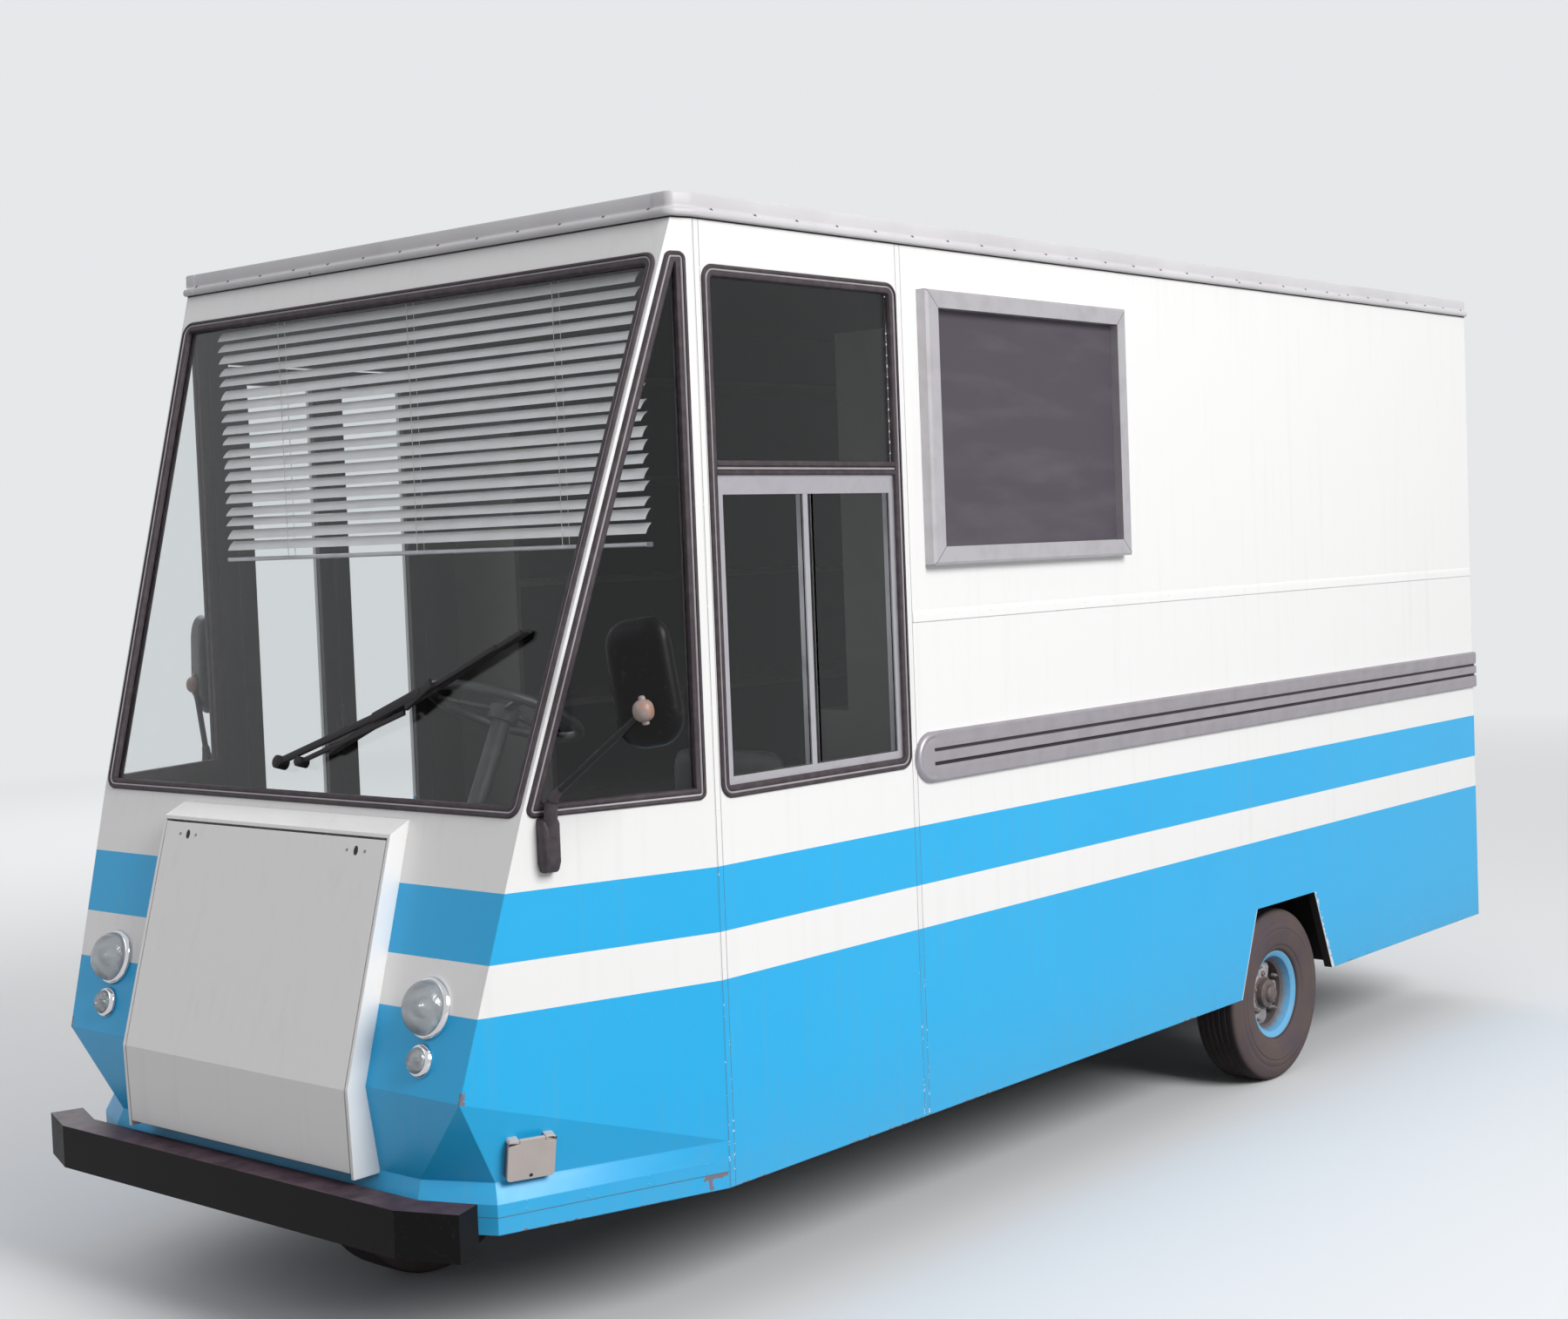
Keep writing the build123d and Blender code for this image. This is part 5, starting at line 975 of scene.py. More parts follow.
class VAN_OT_seals(bpy.types.Operator):
    """Rubber window seals with their bright filler strips, whose light grey is partly a painted highlight."""
    bl_idname = "van.seals"
    bl_label = "Window seals"

    def execute(self, context):
        width = context.scene.van_trim.strip_width
        inner, depth, proud = -SEAL_WIDTH, -SEAL_DEPTH, 0.007
        middle = inner * 0.42
        section = [
            (0.0, depth), (0.0, 0.001), (-0.0015, 0.0045), (-0.005, proud), (-0.009, proud * 0.9),
            (middle + width * 1.1, proud * 0.55), (middle + width * 0.6, proud * 0.35),
            (middle - width * 0.6, proud * 0.35), (middle - width * 1.1, proud * 0.6),
            (inner + 0.008, proud * 0.75), (inner + 0.003, proud * 0.5), (inner, -0.001), (inner, -0.0088),
            (inner / 2, -0.0088), (inner / 2, -0.0152), (inner, -0.0152), (inner, depth),
        ]
        strip = [
            (middle + width * 0.6, proud * 0.3), (middle + width * 0.4, proud * 0.62),
            (middle, proud * 0.74),
            (middle - width * 0.4, proud * 0.62), (middle - width * 0.6, proud * 0.3),
        ]
        loops = [
            (SCREEN, rounded_loop(screen_corners(), CORNER_R), False),
            (CHEEK, rounded_loop(quarter_corners(), CORNER_R / 2), True),
            (LEFT, rounded_loop(side_corners(), CORNER_R), False),
        ]
        seals, strips = [], []
        for face, loop, both in loops:
            for shape, kept in ((section, seals), (strip, strips)):
                made = [swept_loop(face, loop, shape)]
                kept += made + (mirrored(made) if both else [])
        seals += self.bar()
        # The strips' light grey is partly a filler strip and partly a painted highlight along the seal's
        # outer lip
        grey = plain_enamel("grey_filler_strip_vinyl_painted_highlight", "#A7A2A6", 0.35, "#7B767A", 30)
        rubber = moulded_rubber("weathered_seal_rubber", "#3B3337", 0.6, "#6A5F64")
        make_piece("window_seal_rubber", seals, rubber, "body", ["window_seals"])
        make_piece("window_seal_strips", strips + self.lines(), grey, "body")
        return {"FINISHED"}

    def bar(self):
        """Rubber under the fixed upper pane: two lips and the hollow between them."""
        front, rear = SIDE_WINDOW[0] + SEAL_WIDTH - 0.002, SIDE_WINDOW[1] - SEAL_WIDTH + 0.002
        z = WINDOW_BAR_TOP - 0.001
        section = [
            (-0.012, 0.0), (0.001, 0.0), (0.004, 0.004), (0.004, 0.009), (0.0, 0.012), (0.0, 0.021),
            (0.004, 0.024), (0.004, 0.030), (0.0, 0.035), (-0.0088, 0.036), (-0.0088, 0.034), (-0.012, 0.034),
        ]
        return [swept_bar((HALF_W, front, z), (HALF_W, rear, z), section)]

    def lines(self):
        """Bright line in that rubber, and the edge of the pane that slides behind the stile."""
        front, rear, low, _ = SIDE_WINDOW
        z = WINDOW_BAR_TOP + 0.0155
        line = [(-0.001, -0.003), (0.002, -0.002), (0.002, 0.002), (-0.001, 0.003)]
        rows = [swept_bar((HALF_W, front + SEAL_WIDTH, z), (HALF_W, rear - SEAL_WIDTH, z), line)]
        x, y = HALF_W - 0.013, STILE_Y + 0.030
        edge = [(-0.004, -0.0035), (0.002, -0.0035), (0.002, 0.0035), (-0.004, 0.0035)]
        foot, head = low + SEAL_WIDTH + 0.022, WINDOW_BAR_TOP - 0.048
        rows.append(swept_bar((x, y, foot), (x, y, head), edge, up=(0, 1, 0)))
        return rows


class VAN_OT_roof(bpy.types.Operator):
    """Rivets, bead and corner caps of the roof rail, and the lapped seams of the box."""
    bl_idname = "van.roof"
    bl_label = "Roof rail and seams"

    def execute(self, context):
        trim = context.scene.van_trim
        radius, pitch = trim.rivet_radius, trim.rivet_pitch
        front_y, front_x = nose_y(LIP_Z), cheek_x(nose_y(LIP_Z))
        right = [(front_x, front_y), (HALF_W, BEND_Y), (HALF_W, REAR_Y)]
        corners = right + [(-x, y) for x, y in right[::-1]]
        loop = rounded_loop(corners, np.array([0.018, 0.05, 0.012, 0.012, 0.05, 0.018]), 6)
        low, top = LIP_Z + 0.004, ROOF_TOP + 0.0015
        bead = smoothed([
            (0.0, low), (0.013, low - 0.001), (0.0155, low + 0.009), (0.013, low + 0.018),
            (0.0055, low + 0.021), (0.0055, low + 0.030),
        ]).tolist()
        brow = [(0.0055, top - 0.004), (0.0035, top)]
        flange = [(-0.012, top), (-0.013, top - 0.0012), (0.0, top - 0.003)]
        profile = bead + brow + flange
        rail = swept_loop(PLAN, loop, profile)
        finish = finish_of("roof_rail_enamel_greyed")
        make_piece("roof_rail", [rail], finish, "body", ["roof_trim"])
        before = loop[0] + (loop[-1] - loop[0]) / np.linalg.norm(loop[-1] - loop[0]) * 0.034
        after = loop[5] + (loop[6] - loop[5]) / np.linalg.norm(loop[6] - loop[5]) * 0.024
        line = np.vstack([before, loop[:6], after])
        over = [(out + 0.0013, z) for out, z in bead + brow] + [(0.002, top - 0.001), (0.002, low)]
        cap = [swept_loop(PLAN, line, over, False)]
        make_piece("roof_rail_corners", cap + mirrored(cap), finish, "body")
        proud, z = 0.009, low + 0.0205
        along = spaced(BEND_Y + 0.06, REAR_Y - 0.05, pitch)
        across = spaced(-front_x + 0.06, front_x - 0.06, pitch)
        left = [domes(self.row(HALF_W + proud, along, z), (1, 0, 0.8), radius, 0.002)]
        front = domes(self.row(across, front_y - proud, z), (0, -1, 0.8), radius, 0.002)
        rear = domes(self.row(across, REAR_Y + proud, z), (0, 1, 0.8), radius, 0.002)
        rivets = left + mirrored(left) + [front, rear]
        dark = plain_enamel("steel_rivet_rusted", "#6B5F62", 0.6, "#4A3A38", 8)
        make_piece("roof_rail_rivets", rivets, dark, "body", tidy=False)
        self.laps(trim)
        return {"FINISHED"}

    def row(self, x, y, z):
        """Places in a row: one of the three runs along it, and the others are the same all over."""
        return np.stack(np.broadcast_arrays(x, y, z), axis=-1)

    def laps(self, trim):
        """Lapped sheet on the box, its rivets, and the rivets on the nose's lower band."""
        lap_z = trim.lap_height
        wedge = [(0, -0.0005), (0.0022, -0.0005), (0.0022, 0.003), (0.0002, 0.034), (0, 0.034)]
        lap = [swept_bar((HALF_W, SEAM_Y + 0.012, lap_z), (HALF_W, REAR_Y - 0.004, lap_z), wedge)]
        heads = spaced(SEAM_Y + 0.05, REAR_Y - 0.03, trim.rivet_pitch)
        lap.append(domes(self.row(HALF_W + 0.001, heads, lap_z + 0.018), (1, 0, 0), 0.0036, 0.0016))
        edges = [(SEAM_Y, SKIRT_Z + 0.02, LIP_Z - 0.01), (BEND_Y + 0.012, SKIRT_Z + 0.02, 1.24)]
        for y, low, high in edges:
            z = spaced(low, high, 0.12)
            lap.append(domes(self.row(HALF_W + 0.0001, y, z), (1, 0, 0), 0.003, 0.0011))
        start = np.array([cheek_x(KINK_Y) + 0.006, KINK_Y + 0.092])
        run = np.array([HALF_W, BEND_Y]) - start
        share = spaced(0.12, 0.90, trim.rivet_pitch / np.linalg.norm(run))[:, None]
        for z in (LAP_LOW_Z + 0.008, LAP_LOW_Z + 0.026):
            spots = np.concatenate([start + share * run, np.full_like(share, z)], axis=1)
            lap.append(domes(spots, (run[1], -run[0], 0), 0.0032, 0.0011))
        finish = finish_of("sprayed_enamel_white_and_sky_blue")
        make_piece("lap_seams", lap + mirrored(lap), finish, "body")


class VAN_OT_mouldings(bpy.types.Operator):
    """Ribbed rubbing strips along the box, rounded at their front ends."""
    bl_idname = "van.mouldings"
    bl_label = "Side mouldings"

    def execute(self, context):
        radius, slots_from = 0.068, 0.070
        near_end = radius * (1 - np.cos(np.linspace(0, math.pi / 2, 22)))
        far = np.array([slots_from, 0.074, 0.078, 0.10, 0.11, 0.5, 1.2, 2.4, REAR_Y - SEAM_Y])
        along = np.concatenate([near_end, far])[:, None]
        t = np.sin(np.linspace(-math.pi / 2, math.pi / 2, 81))[None, :]
        half = np.where(along < radius, np.sqrt(np.maximum(radius ** 2 - (radius - along) ** 2, 0)), radius)
        offset = t * half
        height = self.height(along, offset, radius, slots_from)
        points = np.stack(np.broadcast_arrays(HALF_W + height, SEAM_Y + along, MOULDING_Z + offset), axis=-1)
        foot = points.copy()
        foot[..., 0] = HALF_W
        shell = np.concatenate([foot[:, :1], points, foot[:, -1:]], axis=1)
        close = shell[-1:].copy()
        close[..., 0] = HALF_W
        strip = surface(np.concatenate([shell, close]), flip=True)
        strips, replaced = [strip] + mirrored([strip]), ["side_mouldings"]
        finish = moulding_aluminium()
        make_piece("ribbed_mouldings", strips, finish, "body", replaced, crease=50)
        return {"FINISHED"}

    def height(self, along, offset, radius, slots_from):
        """Quarter ellipse at the edge, less a cosine wave and two slots, plus a ring round the front end."""
        proud, edge, slot_half, slot_deep = 0.014, 0.007, 0.0045, 0.008
        wave_half, wave_deep, ring_high, ring_half = 0.0226, 0.0012, 0.0022, 0.004
        reach = np.where(along < radius, np.sqrt((radius - along) ** 2 + offset ** 2), np.abs(offset))
        inward = radius - reach
        depth = np.clip(inward / edge, 0, 1)
        height = proud * (0.25 + 0.75 * np.sqrt(1 - (1 - depth) ** 2))
        wave = wave_deep * np.cos(offset / wave_half * math.pi) * np.clip((along - 0.05) / 0.02, 0, 1)
        height = height - np.clip(-wave, 0, None) * (np.abs(offset) < radius - 0.012)
        for place in (-MOULDING_SLOT, MOULDING_SLOT):
            cut = np.clip(1 - (np.abs(offset - place) / slot_half) ** 4, 0, 1)
            height = height - slot_deep * cut * np.clip((along - slots_from) / 0.004, 0, 1)
        crest = np.exp(-((inward - 0.010) / ring_half) ** 2)
        hollow = 0.6 * np.exp(-((inward - 0.019) / ring_half) ** 2)
        return height + ring_high * (crest - hollow) * np.clip((0.085 - along) / 0.02, 0, 1)


def tyre_profile(radius, groove_depth):
    """Tyre section: a cut line from bead to shoulder, a flat crown less its grooves, and the same back."""
    half = TYRE_W / 2
    wall = smoothed([
        (0.128, 0.046), (0.136, 0.062), (0.147, 0.0665), (0.150, 0.072), (0.158, 0.0775), (0.166, 0.0790),
        (0.170, 0.0835), (0.196, half - 0.0015), (0.214, half), (0.218, half), (0.221, half - 0.0030),
        (0.224, half - 0.0004), (0.236, half - 0.0016), (0.240, half - 0.0046), (0.252, half - 0.0050),
        (0.264, half - 0.009), (0.276, half - 0.014), (radius - 0.004, half - 0.021),
        (radius - 0.001, half - 0.028),
    ])
    across = np.linspace(half - 0.030, -half + 0.030, 120)
    level = radius - 0.0022 * (across / half) ** 2
    for place in (-0.044, -0.022, 0.0, 0.022, 0.044):
        level = level - groove_depth * (np.abs(across - place) < 0.0028)
    crown = np.stack([level, across], axis=-1)
    return np.concatenate([wall, crown, (wall * [1, -1])[::-1]])


class VAN_OT_wheels(bpy.types.Operator):
    """Tyres with grooved tread and ringed walls, and their dished rims with nuts."""
    bl_idname = "van.wheels"
    bl_label = "Wheels"

    def execute(self, context):
        wheels = context.scene.van_wheels
        rubber = tyre_rubber()
        blue = self.rim_enamel(wheels.rim_colour)
        silver = plain_enamel("wheel_disc_aluminium_paint", "#A9A8AC", 0.45, "#7A675C", 40, 0.8)
        brown = plain_enamel("wheel_hub_rusty_grease", "#6B605E", 0.5, "#4B3A33", 14, 0.8)
        well = plain_enamel("wheel_well_shadowed_steel", "#2E2A2E", 0.7, "#1B191B", 20)
        steel = finish_of("galvanised_steel_dull")
        track = REAR_WHEEL_X
        wheel_sets = [
            ("front", "front_wheel", "front_tyre", "front_rim", 0.0, FRONT_AXLE_Y, 1),
            ("rear_left", "rear_wheel_left", "rear_tyre_left", "rear_rim_left", track, REAR_AXLE_Y, 1),
            ("rear_right", "rear_wheel_right", "rear_tyre_right", "rear_rim_right", -track, REAR_AXLE_Y, -1),
        ]
        profile = tyre_profile(wheels.tyre_radius, wheels.groove_depth)
        drum = [(0.0, -0.004), (0.104, -0.004), (0.104, -0.030), (0.0, -0.030)]
        for name, body, tyre_node, rim_node, x, y, side in wheel_sets:
            centre, axis, up = (x, y, AXLE_Z), (side, 0, 0), (0, 0, 1)
            tyre = [revolved(profile, centre, axis, up, 120)]
            ring = [revolved(self.rim_ring(), centre, axis, up, 72, closed=True)]
            hub = [revolved(self.hub(), centre, axis, up, 48)]
            brake = [revolved(drum, centre, axis, up, 48)]
            parts = [
                ("tyre_tread", tyre, rubber, "tyre_rubber", [tyre_node]),
                ("rim_ring", ring, blue, "rim_paint", [rim_node]),
                ("rim_disc", self.disc(centre, axis), silver, "rim_paint", []),
                ("rim_nuts", self.nuts(centre, axis), steel, "rim_paint", []),
                ("rim_hub", hub, brown, "rim_paint", []),
                ("brake_drum", brake, well, "rim_paint", []),
            ]
            for part, shapes, finish, slot, replaced in parts:
                make_piece(f"{name}_{part}", shapes, finish, body, replaced)
        return {"FINISHED"}

    def rim_enamel(self, colour):
        """Sky blue enamel at both flanges that gives way to a dark brown grey in the well."""
        finish, tree, shader = new_finish("rim_enamel_sky_blue_worn", colour, Roughness=0.35)
        place = add_node(tree, "TexCoord", output="Object")
        across = add_node(tree, "SeparateXYZ", [add_node(tree, "TexCoord", output="Generated")], "X")
        away = add_node(tree, "Math", [across, 0.5], operation="SUBTRACT")
        away = add_node(tree, "Math", [away], operation="ABSOLUTE")
        away = add_node(tree, "Math", [mottled(tree, place, 30, 4.0), 0.08, away], operation="MULTIPLY_ADD")
        # Darker brown grey towards the middle of the well
        dust = add_node(tree, "MapRange", [away, 0.42, 0.26])
        worn = add_node(tree, "MapRange", [mottled(tree, place, 25, 5.0), 0.35, 0.8, 0.0, 0.4])
        shown = layered(tree, colour, (worn, "#8FA9B8"), (dust, "#5E5556"))
        rough = add_node(tree, "MapRange", [dust, 0.0, 1.0, 0.35, 0.65])
        skin = raised(tree, mottled(tree, place, 1.5), 0.06)
        wire(tree, shader, Base_Color=shown, Roughness=rough, Normal=skin)
        return finish

    def rim_ring(self):
        """Section of the rim: rolled flange, tapered seat and well, with its wall behind."""
        flange = [
            (0.134, 0.0575), (0.141, 0.0590), (0.1462, 0.0615),
            (0.148, 0.0645), (0.1462, 0.0665), (0.142, 0.0655),
        ]
        well = [
            (0.134, 0.0615), (0.127, 0.057), (0.1245, 0.046), (0.118, 0.034), (0.109, 0.026), (0.108, -0.030),
        ]
        inner = [(0.121, -0.040), (0.121, -0.060), (0.142, -0.064), (0.147, -0.062), (0.138, -0.0575)]
        seat = [(0.134, -0.040), (0.114, -0.032), (0.114, 0.028), (0.129, 0.046), (0.132, 0.054)]
        return flange + well + inner + seat

    def disc(self, centre, axis):
        """Dished disc whose rim end has four broad lobes between dark windows."""
        steps = 120
        angle = np.linspace(0, 2 * math.pi, steps, endpoint=False)
        lobe = 0.5 + 0.5 * np.tanh(7 * (np.cos(4 * angle + 0.6) + 0.15))
        outer = 0.070 + 0.0385 * lobe
        radii = np.stack([outer, outer - 0.001, outer * 0.86, np.full(steps, 0.046)], axis=-1)
        heights = np.array([0.006, 0.011, 0.020, 0.023])
        back = heights[::-1] - 0.006
        radius = np.concatenate([radii, radii[:, ::-1]], axis=1)
        height = np.broadcast_to(np.concatenate([heights, back]), radius.shape)
        axis = np.array(axis, float)
        up, aside = np.array([0.0, 0.0, 1.0]), np.cross(axis, [0.0, 0.0, 1.0])
        turn = np.cos(angle)[:, None] * up + np.sin(angle)[:, None] * aside
        points = np.array(centre) + radius[..., None] * turn[:, None, :] + height[..., None] * axis
        return [surface(points, wrap_rows=True, wrap_columns=True)]

    def hub(self):
        """Bearing cap on a stepped hub."""
        cap = [(0.0, 0.0655), (0.014, 0.065), (0.024, 0.062), (0.029, 0.056), (0.030, 0.049), (0.040, 0.047)]
        step = [(0.046, 0.043), (0.047, 0.038), (0.048, 0.024)]
        barrel = [(0.057, 0.022), (0.057, -0.024), (0.0, -0.024)]
        return cap + step + barrel

    def nuts(self, centre, axis):
        """Five wheel nuts with their studs, and five smaller bolts nearer the rim."""
        made = []
        axis = np.array(axis, float)
        up, aside = np.array([0.0, 0.0, 1.0]), np.cross(axis, [0.0, 0.0, 1.0])
        for i in range(5):
            for radius, size, turn, sides in ((0.066, 0.010, 0.0, 6), (0.092, 0.006, 0.2, 10)):
                angle = 2 * math.pi * i / 5 + turn
                place = np.array(centre) + radius * (math.cos(angle) * up + math.sin(angle) * aside)
                nut = [
                    (0.0, 0.034), (size * 0.45, 0.034), (size * 0.5, 0.030), (size * 0.85, 0.029),
                    (size, 0.027), (size, 0.012), (0.0, 0.012),
                ]
                made.append(revolved(nut, place, axis, (0, 0.3, 1), sides))
        return made


class VAN_OT_lamps(bpy.types.Operator):
    """Headlamps and indicators with bezel, bowl and lens, and the tail lamp blocks."""
    bl_idname = "van.lamps"
    bl_label = "Lamps"

    def execute(self, context):
        chrome = finish_of("chromium_plate_polished")
        silver = new_finish("bowl_reflector_silvered", "#C9C9CC", Metallic=1.0, Roughness=0.2)[0]
        glass = {"Roughness": 0.04, "IOR": 1.5, "Transmission_Weight": 0.85}
        clear, tree, shader = new_finish("ribbed_lamp_glass", "#E4E8EA", **glass)
        wire(tree, shader, Normal=self.ribs(tree, "X", 6, 0.5, 0.5))
        bezels, bowls, lenses = [], [], []
        aside, stretch = 0.6436, math.hypot(1, NOSE_SLOPE)
        for height, radius, dome in ((0.840, 0.070, 0.060), (0.725, 0.037, 0.033)):
            centre = NOSE.place(aside, (height - KINK_Z) * stretch)
            bezels.append(revolved(self.bezel(radius), centre, NOSE.out, (0, 0, 1), 64, closed=True))
            bowls.append(revolved(self.bowl(radius), centre, NOSE.out, (0, 0, 1), 48, closed=True))
            lenses.append(revolved(self.lens(radius, dome), centre, NOSE.out, (0, 0, 1), 64))
        make_piece("lamp_bezels", bezels + mirrored(bezels), chrome, "body", ["lamps"])
        make_piece("lamp_bowls", bowls + mirrored(bowls), silver, "body")
        make_piece("lamp_lenses", lenses + mirrored(lenses), clear, "body")
        self.tail_lamps()
        return {"FINISHED"}

    def ribs(self, tree, axis, pitch, depth, strength=1.0):
        """Ribs pressed into a lens: a sine along one axis, its pitch and depth in millimetres."""
        along = add_node(tree, "SeparateXYZ", [add_node(tree, "TexCoord", output="Object")], axis)
        turns = every(tree, along, 2 * math.pi * millimetres(pitch))
        return raised(tree, add_node(tree, "Math", [turns], operation="SINE"), depth, strength)

    def bezel(self, radius):
        """Rolled ring: base flange, bulged outer wall and the lip that holds the lens."""
        wall = [(radius, 0.0), (radius + 0.002, 0.004), (radius, 0.011), (radius - 0.004, 0.015)]
        return wall + [(radius - 0.008, 0.0165), (radius - 0.010, 0.014), (radius - 0.009, 0.0)]

    def bowl(self, radius):
        """Shallow dish that rises as the square of its radius, with a bulb shield in the middle."""
        r = np.linspace(0.0, radius - 0.009, 14)
        dish = 0.003 + 0.011 * (r / r[-1]) ** 2 + 0.012 * np.exp(-(r / (0.16 * radius)) ** 4)
        front = np.stack([r, dish], axis=-1)
        back = np.stack([r[::-1], np.full_like(r, 0.0005)], axis=-1)
        return np.concatenate([front, back])

    def lens(self, radius, dome):
        """Glass dome 3 mm thick: a quarter of a rounded bell from lip to crown."""
        t = np.linspace(0, math.pi / 2, 18)
        edge = radius - 0.006
        foot, thick = 0.012, 0.003
        across, rise = np.cos(t) ** 0.9, np.sin(t)
        outer = np.stack([edge * across, foot + (dome - foot) * rise], axis=-1)
        inner = np.stack([(edge - thick) * across, foot + (dome - foot - thick) * rise], axis=-1)
        return np.concatenate([outer, inner[::-1]])

    def tail_lamps(self):
        """Housing with a red and an amber lens, ribbed across, on each side of the rear wall."""
        housing, red, amber = [], [], []
        low, high = 0.620, 0.860
        x0, x1 = HALF_W - 0.160, HALF_W - 0.050
        middle = (x0 + x1) / 2
        for z0, z1, shape, inset, lift in (
            (low, high, housing, 0.0, 0.016),
            (low + 0.010, low + 0.118, red, 0.008, 0.038),
            (low + 0.124, high - 0.010, amber, 0.008, 0.038),
        ):
            wide, tall = x1 - x0 - 2 * inset, z1 - z0
            loop = round_box_profile(wide, tall, 0.014, 6)
            rings = []
            steps = ((0.0, 0.0), (0.0, lift - 0.005), (0.003, lift - 0.001), (0.008, lift), (0.03, lift))
            for shrink, out in steps:
                scale = np.array([1 - 2 * shrink / wide, 1 - 2 * shrink / tall])
                flat = loop * scale
                rings.append(REAR.place(flat[:, 0] - middle, flat[:, 1] + (z0 + z1) / 2, out))
            shape.append(surface(np.stack(rings), wrap_columns=True, cap_rows=True))
        black = finish_of("moulded_rubber_black")
        housings = housing + mirrored(housing)
        make_piece("tail_lamp_housings", housings, black, "body")
        acrylic = {"Roughness": 0.15, "Transmission_Weight": 0.35}
        for name, shapes, colour in (("red", red, "#A3160F"), ("amber", amber, "#D97A12")):
            finish, tree, shader = new_finish(f"{name}_acrylic_lens", colour, **acrylic)
            wire(tree, shader, Normal=self.ribs(tree, "Z", 5, 0.6))
            make_piece(f"tail_lamp_{name}", shapes + mirrored(shapes), finish, "body")


class VAN_OT_mirrors(bpy.types.Operator):
    """Mirror heads on bent arms in rubber feet."""
    bl_idname = "van.mirrors"
    bl_label = "Mirrors"

    def execute(self, context):
        sets = [
            (KINK_Y + 0.226, KINK_Y + 0.320, False),
            (BEND_Y - 0.035, BEND_Y + 0.035, True),
        ]
        head_out, head_z, boot_z, elbow_z = 0.115, 1.570, 1.239, 1.312
        heads, glasses, arms, feet, sleeves, clamps = [], [], [], [], [], []
        turn, lean = math.radians(21), math.radians(8)
        across = (math.cos(turn) * math.cos(lean), math.sin(turn) * math.cos(lean), math.sin(lean))
        up = np.cross((math.sin(turn), -math.cos(turn), 0), across)
        for foot_y, head_y, right in sets:
            turned = mirrored if right else list
            face = Face((HALF_W + head_out, head_y, head_z), across, up)
            u = (foot_y - BEND_Y) * CHEEK_STRETCH
            root = CHEEK.place(u, boot_z, 0.024)
            elbow = np.array([root[0] + 0.008, root[1], elbow_z])
            grip = face.place(0.0, -0.060, 0.034)
            path = bent_path([root, elbow, grip], 0.03)
            heads += turned(self.head(face))
            glasses += turned(self.glass(face))
            arms += turned([tube(path, 0.0082)])
            feet += turned(self.foot(u))
            sleeves += turned(self.sleeve(root, elbow, grip))
            clamps += turned(self.clamp(face, grip))
        black = black_enamel("moulded_mirror_shell_black", "#0A080A", 0.4, gloss=0.2)
        make_piece("mirror_heads", heads, black, "body", ["mirrors"])
        silver = new_finish("silvered_mirror_glass", "#C8CCCE", Metallic=1.0, Roughness=0.02)[0]
        make_piece("mirror_glass", glasses, silver, "body")
        make_piece("mirror_arms", arms, finish_of("black_arm_enamel"), "body")
        rubber = moulded_rubber("weathered_boot_rubber", "#3A3337", 0.6, "#6A5F65")
        make_piece("mirror_feet", feet + sleeves, rubber, "body")
        rusty = plain_enamel("rusty_clamp_steel", "#97908F", 0.4, "#A9642C", 34, 1.0)
        make_piece("mirror_clamps", clamps, rusty, "body")
        return {"FINISHED"}

    def head(self, face):
        """Shell like a bath: a rounded outline that shrinks as the depth follows a quarter ellipse."""
        loop = self.outline()
        t = np.linspace(0, math.pi / 2 * 0.93, 10)
        steps = [(0.94, 0.0), (0.985, 0.0), (1.0, 0.003)]
        steps += list(zip(0.25 + 0.75 * np.cos(t) ** 0.5, 0.004 + 0.030 * np.sin(t)))
        rings = [face.place(loop[:, 0] * k, loop[:, 1] * k, out) for k, out in steps]
        return [surface(np.stack(rings), wrap_columns=True, cap_rows=True)]

    def glass(self, face):
        """Flat pane that fills the shell's mouth."""
        loop = self.outline() * 0.93
        rings = [face.place(loop[:, 0], loop[:, 1], out) for out in (-0.0008, 0.0004)]
        return [surface(np.stack(rings), wrap_columns=True, cap_rows=True)]

    def outline(self):
        """Mirror outline, a little narrower at its head."""
        corners = [(-0.0825, -0.145), (0.0825, -0.145), (0.078, 0.145), (-0.078, 0.145)]
        return rounded_loop(corners, np.array([0.064, 0.068, 0.052, 0.058]), 12)

    def foot(self, u):
        """Boot on the cheek: rounded loops that swell outwards, with a seam across and a tapered toe."""
        corners = [
            (-0.017, -0.0625), (0.017, -0.0625), (0.023, -0.040),
            (0.023, 0.0625), (-0.023, 0.0625), (-0.023, -0.040),
        ]
        loop = rounded_loop(corners, 0.007, 4)
        seam = 1 - 0.06 * np.exp(-((loop[:, 1] - 0.022) / 0.002) ** 2)
        steps = ((1.0, 0.0), (1.0, 0.012), (0.97, 0.024), (0.90, 0.032), (0.72, 0.037), (0.4, 0.0385))
        middle, rib_z = 1.2045, 1.229
        rings = [CHEEK.place(u + loop[:, 0] * k, middle + loop[:, 1] * k, out * seam) for k, out in steps]
        line = round_box_profile(0.047, 0.0024, 0.001, 3)
        steps = ((1.0, 0.0), (1.0, 0.020), (0.8, 0.036))
        rib = [CHEEK.place(u + line[:, 0] * k, rib_z + line[:, 1], out) for k, out in steps]
        shapes = [np.stack(rings), np.stack(rib)]
        return [surface(shape, wrap_columns=True, cap_rows=True, flip=True) for shape in shapes]

    def sleeve(self, root, elbow, grip):
        """Rubber sleeve that tapers off along the arm past its bend."""
        end = elbow + (grip - elbow) * 0.10
        path = bent_path([root - [0, 0, 0.014], elbow, end], 0.02, 5)
        return [tube(path, np.linspace(0.0165, 0.0100, len(path)))]

